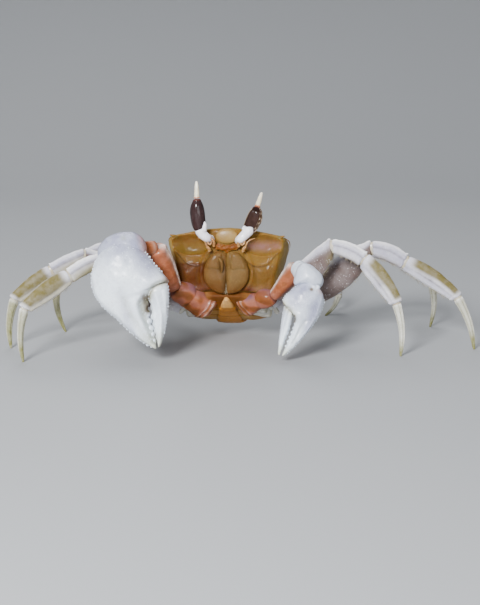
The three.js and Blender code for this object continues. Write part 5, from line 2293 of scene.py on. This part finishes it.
MINOR = ClawShape(
    name="minor", hand=-1, root=(28.7, -29.4, 24.6), tip=(19.2, -35.8, 2.6), facing=(0.05, -0.96, 0.26),
    lower=(
        (0.6, -4.2), (3.4, -6.0), (6.4, -6.4), (9.2, -6.2), (12.4, -5.6), (15.7, -4.7), (19.0, -3.6),
        (22.0, -2.4), (24.8, -0.9),
    ),
    upper=(
        (0.6, 3.0), (1.8, 3.9), (3.0, 4.7), (4.2, 5.3), (5.4, 5.8), (6.5, 6.3), (7.6, 6.5), (8.7, 6.2),
        (9.6, 5.2), (10.6, 2.6), (11.8, 0.7), (13.8, 0.0), (16.0, -0.3), (18.2, -0.4), (20.5, -0.4),
        (22.7, -0.35), (24.8, -0.3),
    ),
    finger_outer=((7.2, 4.6), (9.4, 5.0), (12.0, 4.7), (15.0, 3.9), (18.2, 3.0), (21.6, 2.0), (24.9, 0.85)),
    finger_inner=((9.6, 1.2), (11.6, 1.2), (13.6, 1.1), (15.8, 0.85), (18.6, 0.6), (21.8, 0.4), (24.9, 0.2)),
    palm_bulge=(5.6, 7.2, 7.4, 6.8, 5.8, 4.4, 3.6, 2.6, 1.3), finger_bulge=(4.2, 3.9, 3.2, 2.4, 1.2),
    hip=(10.0, -11.2, 15.2), elbow=(16.2, -15.0, 17.6), cuff=(24.2, -21.6, 28.8),
    arm_heights=(3.6, 4.4, 5.6, 5.8), arm_thick=(4.2, 5.0, 5.8, 5.2), base_heights=(7.4, 5.4),
    base_thick=(6.6, 4.8), wrist=(-2.0, 2.1, -0.6), wrist_radii=(4.6, 5.2, 4.5),
    lines=(
        Line(((10.4, -0.6), (12.4, -1.3), (17.0, -1.6), (23.2, -0.7)), 0.3, 0.45),
        Line(((10.3, -5.5), (14.4, -4.7), (18.2, -3.6)), 0.25, 0.45),
        Line(((11.6, -3.0), (13.1, -2.7), (19.5, -2.1)), -0.35, 0.6),
        Line(((9.8, 5.3), (9.9, 3.6), (11.0, 2.0), (12.0, 0.8)), -0.35, 0.35),
        Line(((2.6, -4.8), (6.4, -5.4), (10.0, -5.4)), 0.2, 0.5),
    ),
    swells=(Swell(6.0, -0.8, 3.4, 2.8, 0.3), Swell(1.0, -0.5, 0.9, 0.8, -0.4)),
    teeth=((13.4, 0.22), (15.0, 0.26), (16.6, 0.24), (18.2, 0.22), (19.8, 0.2), (21.4, 0.16)),
    finger_lines=(
        Line(((10.2, 4.1), (17.5, 2.9), (23.8, 1.3)), 0.25, 0.4),
        Line(((11.0, 2.1), (16.8, 1.3)), 0.18, 0.35),
        Line(((11.0, 3.1), (17.0, 2.1), (21.0, 1.4)), -0.25, 0.4),
    ),
    finger_teeth=((14.2, 0.2), (15.8, 0.22), (17.4, 0.2), (19.0, 0.18), (20.6, 0.15)),
    edge_pitch=0.95, denticle=0.32, grain=0.09, scattered=160, molar=0.5, heel=1.2, pit=False,
    # painted shade, in lilac
    lilac=(
        Swell(3.0, 3.0, 6.0, 4.0, 0.9), Swell(9.0, -4.4, 9.0, 2.2, 0.9), Swell(14.0, 3.6, 6.0, 1.6, 0.4),
        Swell(6.0, 0.0, 7.0, 5.0, 0.4),
    ),
    rose=(Swell(0.5, -3.6, 1.2, 1.2, 0.5),),
    # painted shade at the top of the finger gap and in the small hollow near the palm's near end
    cavity_shade=(Line(((11.4, 0.9), (12.4, 0.4), (13.2, 0.2)), 1.0, 0.4), Swell(1.5, -0.7, 0.6, 0.6, 1.4)),
    # the wrist dome is partly covered by painted shade, in lilac
    collar=((4.8, 6.4, 6.0), (4.8, 6.2, 5.6)), collar_rose=0.0, dome_lilac_shade=0.55,
    wrist_teeth=(((-0.4, -2.3, 1.9), (2.5, -1.7, 2.9), 0.85),),
    wrist_outline=(
        (1.8, 5.2), (-0.8, 6.1), (-3.6, 6.3), (-5.3, 5.5), (-5.9, 4.0), (-5.8, 2.4), (-5.4, 0.6),
        (-4.6, -1.5), (-3.1, -3.0), (-1.5, -3.4), (-0.4, -2.9), (0.8, -1.9), (0.9, -0.5), (0.9, 1.6),
        (1.7, 3.5),
    ),
    suture=Line(((8.9, 5.9), (9.9, 4.4), (10.6, 2.6), (11.4, 1.2)), 1.0, 0.22),
)


@dataclass(frozen=True)
class Claw:
    """One claw: palm with its fixed finger, moving finger, wrist, collar, arm and base.

    An end is how far along the plate its rounding reaches, and the share of the section left there.
    A row of grains is where it starts and ends, its angle in degrees and the grains' share of the
    largest one. A row on the arm is an angle and a radius.
    """

    shape: ClawShape
    palm_grid: tuple[int, int] = (250, 150)
    finger_grid: tuple[int, int] = (170, 110)
    near_end: tuple[float, float] = (0.045, 0.6)
    far_end: tuple[float, float] = (0.035, 0.25)
    squareness: float = 2.1
    shoulder: float = 1.6
    olive_from: float = 0.8
    pit: Swell = Swell(0.1, -0.4, math.sqrt(0.8), math.sqrt(0.8), 1.0)
    palm_rows: tuple = (
        (0.1, 0.97, 180, 1.0), (0.12, 0.95, 172, 0.5), (0.14, 0.85, 163, 0.4), (0.07, 0.43, 0, 0.8),
        (0.07, 0.42, 9, 0.45),
    )
    finger_rows: tuple = ((0.08, 0.86, 0, 0.62), (0.08, 0.8, 13, 0.4))
    arm_rows: tuple = ((0, 0.26), (14, 0.18), (-14, 0.18), (180, 0.24), (166, 0.16))

    def axes(self) -> np.ndarray:
        """Works out how the claw lies.

        Returns:
            The directions along the claw, across it towards the moving finger, and out of its face.
        """
        lengthwise = unit(np.subtract(self.shape.tip, self.shape.root))
        facing = np.array(self.shape.facing)
        out = unit(facing - lengthwise * facing.dot(lengthwise))
        return np.stack([lengthwise, self.shape.hand * np.cross(out, lengthwise), out])

    def place(self, u: np.ndarray | float, v: np.ndarray | float, w: np.ndarray | float = 0.0) -> np.ndarray:
        """Sets claw coordinates, along, across and out of the face, in the standing frame."""
        local = np.stack(np.broadcast_arrays(u, v, w), -1)
        return np.array(self.shape.root) + local @ self.axes()

    def plate(self, low: tuple, high: tuple, bulges: tuple, grid: tuple[int, int], relief: tuple,
              teeth: Callable, heel: float = 0.0) -> tuple[Surface, np.ndarray, np.ndarray, np.ndarray]:
        """Makes a domed plate between two edges.

        Args:
            low: The edge on the - side.
            high: The edge on the + side.
            bulges: Thickness along the plate.
            grid: How many rings it has, and how many corners there are in a ring.
            relief: Ridges, grooves and swellings on its outer face.
            teeth: Gives how far the biting edge stands out at places along the claw.
            heel: How far the middle of the plate's near end is rounded out.

        Returns:
            The plate, and for each ring point its place along and across the claw and how much it
            belongs to the outer face.
        """
        t, angle = np.meshgrid(np.linspace(0, 1, grid[0]), full_turn(grid[1]), indexing="ij")
        lower, higher = curve(low, t), curve(high, t)
        w, d = section(angle, self.squareness + self.shoulder * hump(t, 0.54, 0.09))
        middle, span = (lower + higher) / 2, (higher - lower) / 2
        ending = np.ones_like(t)
        for (reach, left), away in ((self.near_end, t), (self.far_end, 1 - t)):
            ending = ending * (left + (1 - left) * rounded(away / reach))
        uv = middle + span * w[..., None] * ending[..., None]
        u, v = uv[..., 0], uv[..., 1]
        u = u - heel * (1 - w**2) * smooth(0.1, 0.0, t)
        v = v + self.bite(low) * np.clip(self.bite(low) * w, 0, 1) ** 30 * teeth(u)
        thick = curve(bulges, t) / 2 * ending
        outer = smooth(0.05, 0.5, d)
        raised = sum(item.lift(u, v) for item in relief) * np.minimum(1, thick / 2.4)
        surface = rings_surface(self.place(u, v, thick * d + outer * raised))
        return surface, u, v, outer

    def bite(self, low: tuple) -> int:
        """Gives 1 if the biting edge is the + edge of the plate whose - edge is given."""
        return 1 if low is self.shape.lower else -1

    def molars(self, teeth: tuple) -> Callable:
        """Shapes rounded single teeth along an edge.

        Args:
            teeth: Each tooth's place and height.

        Returns:
            A function that gives the edge's rise at places along the claw.
        """
        def height(u: np.ndarray) -> np.ndarray:
            """Gives the edge's rise at places along the claw."""
            return sum(tall * np.exp(-(((u - at) / self.shape.molar) ** 4)) for at, tall in teeth)

        return height

    def paint(self, surface: Surface, u: np.ndarray, v: np.ndarray, outer: np.ndarray) -> Surface:
        """Sets a plate's masks: painted lilac shade, rosy joints, the dark seam, painted shade in hollows and
        grooves, and olive tips.

        Args:
            surface: The plate.
            u: Places along the claw.
            v: Places across it.
            outer: How much each point belongs to the outer face.

        Returns:
            The same plate.
        """
        shape = self.shape
        reach = shape.lower[-1][0]
        wide_seam = replace(shape.suture, width=1.1)
        spots = (shape.lilac, shape.rose, shape.cavity_shade)
        lilac, rose, deep = (sum(spot.lift(u, v) for spot in kind) for kind in spots)
        return surface.ring_masked(
            # painted shade in lilac, more on the inner face; deep is the dark seam plus painted shade in the
            # hollows
            lilac=lilac + 0.35 * (1 - outer), rose=rose, deep=deep + 0.75 * shape.suture.lift(u, v),
            olive=0.75 * smooth(self.olive_from * reach, reach, u) + 0.6 * wide_seam.lift(u, v),
            # painted shade in the grooves
            shade=sum(np.clip(-item.lift(u, v), 0, 1) for item in shape.lines),
        )

    def palm(self) -> Surface:
        """Makes the palm with the fixed finger.

        Returns:
            The palm with its grains and teeth.
        """
        shape = self.shape
        surface, u, v, outer = self.plate(
            shape.lower, shape.upper, shape.palm_bulge, self.palm_grid, shape.lines + shape.swells,
            self.molars(shape.teeth), shape.heel,
        )
        self.paint(surface.roughened(0.07, 3.0, seed=100), u, v, outer)
        at, tall = np.array(shape.teeth).T
        knobs = beads(self.place(at, -0.25 - 0.35 * tall, 0.2 + 0.45 * tall), 0.2 + shape.molar * tall, 20)
        grained = self.grained(surface, self.palm_grid[1], self.palm_rows, shape.scattered, 110)
        return joined([grained, knobs])

    def grained(self, surface: Surface, cols: int, rows: tuple, scattered: int, seed: int) -> Surface:
        """Sets rows of blunt grains along a plate's edges and scatters finer ones over its face.

        Args:
            surface: The plate, made of rings.
            cols: Corners in one of its rings.
            rows: The rows.
            scattered: How many fine grains lie between the rows and the middle of the face.
            seed: Seed of their places.

        Returns:
            The plate with its grains.
        """
        grid = surface.points[:-2].reshape(-1, cols, 3)
        count = len(grid)
        sets = []
        for start, end, degrees, share in rows:
            radius = share * self.shape.denticle
            line = grid[int(start * count):int(end * count), round(degrees / 360 * cols) % cols]
            along = np.concatenate([[0.0], np.cumsum(np.linalg.norm(np.diff(line, axis=0), axis=1))])
            picks = np.arange(0.0, along[-1], self.shape.edge_pitch * (0.45 + 1.3 * radius))
            places = np.stack([np.interp(picks, along, axis) for axis in line.T], -1)
            sets.append(row_beads(places, radius, 0.82, 2.3, 12))
        chance = np.random.default_rng(seed)
        ring = (0.06 + 0.88 * chance.random(scattered)) * count
        turn = 20 + 150 * chance.random(scattered) ** 0.6
        places = grid[ring.astype(int), (turn / 360 * cols).astype(int)]
        sets.append(beads(places, self.shape.grain * (0.6 + 0.6 * chance.random(scattered))))
        # a faint painted shade, in lilac, on the grains
        return joined([surface, joined(sets).toned(lilac=0.1)])

    def finger(self) -> Surface:
        """Makes the moving finger.

        Returns:
            The finger with its grains and teeth.
        """
        shape = self.shape
        surface, u, v, outer = self.plate(
            shape.finger_inner, shape.finger_outer, shape.finger_bulge, self.finger_grid,
            shape.finger_lines, self.molars(shape.finger_teeth),
        )
        self.paint(surface.roughened(0.05, 2.4, seed=101), u, v, outer)
        return self.grained(surface, self.finger_grid[1], self.finger_rows, shape.scattered // 4, 111)

    def wrist(self) -> Surface:
        """Makes the wrist: a dome over the end of the palm, with its teeth.

        Returns:
            The wrist.
        """
        shape = self.shape
        centre = self.place(*shape.wrist)
        axes = self.axes()
        if shape.wrist_outline:
            dome = plate(
                shape.wrist_outline, lambda a, b, high: self.place(a, b, high - 0.3), dome=3.9, thickness=3.2,
                rows=46, cols=150, middle=(-2.2, 1.6),
            )
        else:
            order = [0, 2, 1]
            dome = blob(centre, axes[order], np.array(shape.wrist_radii)[order], 80, 96, 2.2)
        along, across, out = ((dome.points - centre) @ axes.T).T
        pit = self.pit.lift(along + shape.wrist[0], across + shape.wrist[1])
        pit *= shape.pit * smooth(0.0, 2.0, out)
        dome.pushed(0.07 * lumps(dome.points, 2.6, 102) - 0.5 * pit)
        # painted shade, in lilac, over the dome
        dome.toned(lilac=shape.dome_lilac_shade)
        dome.masked(shade=0.6 * pit, rose=0.7 * shape.collar_rose * smooth(5.6, 8.2, across))
        parts = [dome]
        for root, tip, radius in shape.wrist_teeth:
            # painted shade, in lilac, on the teeth
            parts.append(spine(self.place(*root), self.place(*tip), radius, 24).toned(lilac=0.4))
        return joined(parts)

    def collar(self) -> Surface:
        """Makes the joint between the arm and the wrist.

        Returns:
            The joint, as a short collar.
        """
        shape = self.shape
        neck = Limb(
            np.array(shape.cuff), self.place(*shape.wrist), self.axes()[0], *shape.collar, squareness=2.3
        )
        t, angle = neck.grid(30, 52)
        surface = rings_surface(neck.at(t, angle, 0.25 * hump(t, 0.1, 0.09)))
        surface.ring_masked(pale=0.3 * hump(t, 0.1, 0.06), amber=0.45 + 0.4 * smooth(0.2, 0.5, t))
        # painted shade, in lilac, on the small claw's collar
        return surface.toned(lilac=0.4 * (1 - shape.collar_rose))

    def arm(self) -> Surface:
        """Makes the arm, with white grains along its edges.

        Returns:
            The arm.
        """
        shape = self.shape
        limb = Limb(
            np.array(shape.elbow), np.array(shape.cuff), self.axes()[1], shape.arm_heights, shape.arm_thick,
            soft_start=1.2, soft_end=1.0, narrow=0.7,
        )
        t, angle = limb.grid(110, 84)
        off_top = off_angle(angle, 0)
        edges = (0.0, 180.0)
        ridge = 0.35 * sum(crest(angle, degrees, 14) for degrees in edges) + 0.2 * crest(angle, 90, 30)
        surface = rings_surface(limb.at(t, angle, ridge)).roughened(0.08, 2.4, seed=103)
        surface.ring_masked(
            pale=0.95 * sum(crest(angle, degrees, 18 + 16 * t**3) for degrees in edges),
            rose=0.8 * smooth(0.4, 0.0, t) + 0.3 * smooth(0.5, 0.9, t),
            dark=0.35 * smooth(80, 130, off_top) * smooth(172, 160, off_top),
            lilac=0.5 * hump(off_angle(angle, 140), 0, 20),
        )
        surface.masked(amber=0.5 * smooth(0.2, 1.2, lumps(surface.points, 2.2, 107)))
        rows = [
            row_beads(limb.row(0.08, 0.97, 0.58, degrees, 0.25), radius, 0.8, 1.9)
            for degrees, radius in self.arm_rows
        ]
        return joined([surface, joined(rows).toned(pale=0.95)])

    def base(self) -> Surface:
        """Makes the base: stout overlapping rings between the body and the arm.

        Returns:
            The base.
        """
        shape = self.shape
        hip, elbow = np.array(shape.hip), np.array(shape.elbow)
        inward = hip - elbow
        parts = []
        for start, end, share, rims in ((0.8, -0.36, 1.12, (0.14, 0.3)), (-0.16, -1.0, 0.95, ())):
            sizes = ([share * value for value in values] for values in (shape.base_heights, shape.base_thick))
            limb = Limb(
                hip + start * inward, hip + end * inward, self.axes()[1], *sizes, squareness=2.7,
                soft_start=2.0, soft_end=2.6, narrow=0.7,
            )
            t, angle = limb.grid(72, 80)
            rim = sum((hump(t + 0.03 * np.sin(angle * 2), place, 0.028) for place in rims), 0 * t)
            part = rings_surface(limb.at(t, angle, 0.3 * rim)).roughened(0.22, 4.2, seed=104)
            above = smooth(-0.2, 0.7, part.normals()[:, 2])
            uneven = lumps(part.points, 3.4, 105)
            part.masked(
                rose=0.9 * smooth(0.0, 0.8, uneven), amber=0.9 * smooth(0.35, -0.5, uneven),
                lilac=above * (0.55 + 0.45 * uneven),
            )
            parts.append(part.ring_masked(
                pale=0.45 * rim, dark=0.4 * smooth(0.92, 1.0, t) + 0.3 * smooth(0.06, 0.0, t)
            ))
        return joined(parts)

    def build(self) -> None:
        """Makes every piece of the claw."""
        node = f"claw_{self.shape.name}"
        mesh_object(f"{node}_palm_shell", self.palm(), CLAW, Slot.CLAW, (f"{node}_palm",))
        mesh_object(f"{node}_finger_shell", self.finger(), CLAW, Slot.CLAW, (f"{node}_finger",))
        mesh_object(f"{node}_wrist_shell", self.wrist(), CLAW, Slot.CLAW, (f"{node}_wrist",))
        finish, slot = (ARM, Slot.ARM) if self.shape.collar_rose else (CLAW, Slot.CLAW)
        mesh_object(f"{node}_collar", self.collar(), finish, slot)
        mesh_object(f"{node}_arm_shell", self.arm(), ARM, Slot.ARM, (f"{node}_arm",))
        mesh_object(f"{node}_base_shell", self.base(), ARM, Slot.ARM, (f"{node}_base",))


# ------------------------------------------------------------------ bristles


@dataclass(frozen=True)
class HairRow:
    """A fringe of bristles along a limb piece: where it runs, which way it leans and how thick it is set."""

    piece: LegPiece
    low: float
    high: float
    degrees: float
    spread: float
    length: float
    count: int


@dataclass(frozen=True)
class Coat:
    """Fine bristles, set by chance from a fixed seed and joined into one piece for each limb."""

    radius: float = 0.035
    lean: float = 0.55
    sides: int = 3
    knots: int = 4
    patch: float = 0.003
    seed: int = 500
    brush_count: int = 46
    rows: tuple[HairRow, ...] = (
        HairRow(LegPiece.MERUS, 0.3, 0.97, 180, 16, 1.1, 120),
        HairRow(LegPiece.CARPUS, 0.25, 0.98, 160, 26, 0.9, 50),
        HairRow(LegPiece.PROPODUS, 0.08, 0.95, 178, 12, 1.0, 90),
        HairRow(LegPiece.PROPODUS, 0.3, 0.98, 30, 14, 0.5, 40),
        HairRow(LegPiece.DACTYL, 0.04, 0.6, 0, 18, 0.5, 40),
        HairRow(LegPiece.DACTYL, 0.04, 0.55, 180, 16, 0.5, 30),
    )

    def strand(self, root: np.ndarray, out: np.ndarray, along: np.ndarray, length: float) -> Surface:
        """Makes one bristle that bends over.

        Args:
            root: Where it stands.
            out: The direction out of the shell.
            along: The direction in which it leans.
            length: Its length.

        Returns:
            The bristle.
        """
        t = np.linspace(0, 1, self.knots)[:, None]
        path = root + length * (t * out + self.lean * t**1.8 * along)
        return tube(path, self.radius * (1.05 - t[:, 0]) ** 0.7, self.sides)

    def fringe(self, limb: Limb, row: HairRow,
               chance: np.random.Generator) -> tuple[list[Surface], list[tuple]]:
        """Makes one row's bristles.

        Args:
            limb: The piece's plain shape.
            row: The row.
            chance: The source of chance.

        Returns:
            The bristles, and each root's place along and round the piece.
        """
        strands, roots = [], []
        along = unit(limb.end - limb.start)
        for _ in range(row.count):
            t = row.low + (row.high - row.low) * chance.random()
            degrees = row.degrees + row.spread * chance.normal()
            root, tip = (limb.at(np.array(t), np.array(math.radians(degrees)), lift) for lift in (-0.1, 1.0))
            length = row.length * (0.6 + 0.7 * chance.random())
            sway = along + 0.5 * chance.normal(size=3)
            strands.append(self.strand(root, unit(tip - root), sway, length))
            roots.append((t, degrees % 360 / 360))
        return strands, roots

    def leg(self, leg: WalkingLeg) -> None:
        """Makes the bristles of one leg.

        Args:
            leg: The leg.
        """
        chance = np.random.default_rng(self.seed + 10 * leg.number + int(leg.side.value))
        limbs = leg.limbs()
        strands, roots = [], []
        for row in self.rows:
            made, places = self.fringe(limbs[row.piece], row, chance)
            strands += made
            first = list(LegPiece).index(row.piece) / len(LegPiece)
            roots += [(first + along / len(LegPiece), turn) for along, turn in places]
        self.piece(f"bristles_{leg.side.word}_{leg.number}", strands, roots, Slot.LEG)

    def mouth(self, mouth: MouthCover) -> None:
        """Makes the pale brush between the lower ends of the mouth flaps.

        Args:
            mouth: The mouth cover, which knows the face.
        """
        chance = np.random.default_rng(self.seed)
        place = mouth.on_face(1, 0.35)
        lean = np.array([0.0, 0.0, -1.2])
        strands, roots = [], []
        for _ in range(self.brush_count):
            x = 0.8 * chance.normal()
            z = -5.6 - 3.4 * chance.random()
            root = place(np.array(x * (0.2 + 0.06 * (-z - 4.8))), np.array(z), np.array(-0.5))
            out = unit(np.array([0.2 * x, -1.0, -0.5]) + 0.2 * chance.normal(size=3))
            strands.append(self.strand(root, out, lean, 0.5 + 0.4 * chance.random()))
            roots.append((0.5 + 0.08 * x, -z / 12))
        self.piece("bristles_mouth", strands, roots, Slot.MOUTH)

    def piece(self, name: str, strands: list[Surface], roots: list[tuple], slot: Slot) -> None:
        """Joins bristles into one piece and lays each one out as a small patch at its root.

        Args:
            name: The piece's name.
            strands: The bristles.
            roots: Each root's place on the unwrapped shell.
            slot: The record's slot.
        """
        coat = mesh_object(name, joined(strands), HAIR, slot)
        each = len(strands[0].points)
        number = np.arange(each)
        patch = self.patch * np.stack([number % self.sides / self.sides, number / each], -1)
        places = (np.array(roots)[:, None, :] * (1 - self.patch) + patch).reshape(-1, 2)
        corners = np.zeros(len(coat.data.loops), np.int32)
        coat.data.loops.foreach_get("vertex_index", corners)
        layer = coat.data.uv_layers.new(name="OFBake")
        layer.data.foreach_set("uv", places[corners].astype(np.float32).ravel())


# ------------------------------------------------------------------ studio


@dataclass(frozen=True)
class SoftLight:
    """A large soft lamp that looks at the crab."""

    name: str
    place: tuple[float, float, float]
    size: float
    power: float
    colour: Colour = (1.0, 1.0, 1.0)
    target: tuple[float, float, float] = (0.0, 0.0, 0.02)

    def build(self) -> None:
        """Makes the lamp."""
        data = bpy.data.lights.new(self.name, "AREA")
        data.shape = "DISK"
        data.size = self.size
        data.energy = self.power
        data.color = self.colour
        lamp = bpy.data.objects.new(self.name, data)
        lamp.location = self.place
        away = Vector(self.place) - Vector(self.target)
        lamp.rotation_euler = away.to_track_quat("Z", "Y").to_euler()
        bpy.context.scene.collection.objects.link(lamp)


@dataclass(frozen=True)
class Studio:
    """The pale floor that curves up into a backdrop, the lamps and the camera."""

    lights: tuple[SoftLight, ...] = (
        SoftLight("key", (-0.18, -0.60, 0.34), 0.20, 11.6, (0.99, 0.995, 1.0)),
        SoftLight("fill", (0.30, -0.62, 0.12), 0.40, 2.2, (0.97, 0.98, 1.0)),
        SoftLight("top", (0.05, 0.16, 0.72), 0.60, 1.8, (0.98, 0.99, 1.0)),
        SoftLight("back", (-0.16, 0.50, 0.60), 0.50, 2.4, (0.98, 0.99, 1.0)),
    )
    world_tone: Colour = (0.86, 0.89, 0.93)
    world_power: float = 0.22
    camera_place: tuple[float, float, float] = (0.03025, -0.45690, 0.10934)
    camera_turn: tuple[float, float, float] = (78.0, 0.0, 4.0)
    lens: float = 79.93
    floor_bend: float = 0.62
    floor_flat: float = 0.42
    floor_rings: tuple[int, int] = (24, 22)
    floor_sides: int = 96

    def floor(self) -> None:
        """Makes the round floor."""
        flat = np.linspace(0.0, self.floor_flat, self.floor_rings[0])[1:]
        turn = np.linspace(0, math.pi / 2, self.floor_rings[1])[1:]
        radius = np.concatenate([flat, self.floor_flat + self.floor_bend * np.sin(turn)])[:, None]
        height = np.concatenate([0 * flat, self.floor_bend * (1 - np.cos(turn))])[:, None]
        angle = full_turn(self.floor_sides)
        rings = np.stack([radius * np.cos(angle), radius * np.sin(angle), height + 0 * angle], -1)
        rows, cols = rings.shape[:2]
        corner = np.arange(cols)
        faces = ring_quads(rows, cols)[:, [0, 3, 2, 1]].tolist()
        faces += np.stack([np.full(cols, rows * cols), corner, (corner + 1) % cols], -1).tolist()
        mesh = bpy.data.meshes.new("floor")
        mesh.from_pydata([*map(tuple, rings.reshape(-1, 3)), (0.0, 0.0, 0.0)], [], faces)
        mesh.polygons.foreach_set("use_smooth", [True] * len(faces))
        mesh.materials.append(FLOOR.material())
        floor = bpy.data.objects.new("floor", mesh)
        bpy.context.scene.collection.objects.link(floor)

    def camera(self) -> None:
        """Places the camera."""
        data = bpy.data.cameras.new("camera")
        data.lens = self.lens
        data.clip_start = 0.01
        data.clip_end = 10.0
        camera = bpy.data.objects.new("camera", data)
        camera.location = self.camera_place
        camera.rotation_euler = tuple(math.radians(turn) for turn in self.camera_turn)
        bpy.context.scene.collection.objects.link(camera)
        bpy.context.scene.camera = camera

    def world(self) -> None:
        """Makes the even pale light all round."""
        world = bpy.data.worlds.new("studio")
        world.use_nodes = True
        background = world.node_tree.nodes["Background"]
        background.inputs["Color"].default_value = (*self.world_tone, 1)
        background.inputs["Strength"].default_value = self.world_power
        bpy.context.scene.world = world

    def build(self) -> None:
        """Makes the whole studio."""
        self.floor()
        self.camera()
        self.world()
        for light in self.lights:
            light.build()


def main() -> None:
    """Builds the crab and its studio, piece by piece."""
    logging.basicConfig(level=logging.INFO, format="%(message)s")
    legs = {(side, number): WalkingLeg(side, number) for side in Side for number in LEG_SIZES}
    mouth = MouthCover()
    Shield().build()
    mouth.build()
    Feelers().build(mouth)
    Thorax().build()
    FoldedTail().build()
    for eye in EYES:
        eye.build()
    for leg in legs.values():
        leg.build()
    Claw(MAJOR).build()
    Claw(MINOR).build()
    coat = Coat()
    coat.mouth(mouth)
    for leg in legs.values():
        coat.leg(leg)
    Studio().build()


if __name__ == "__main__":
    main()
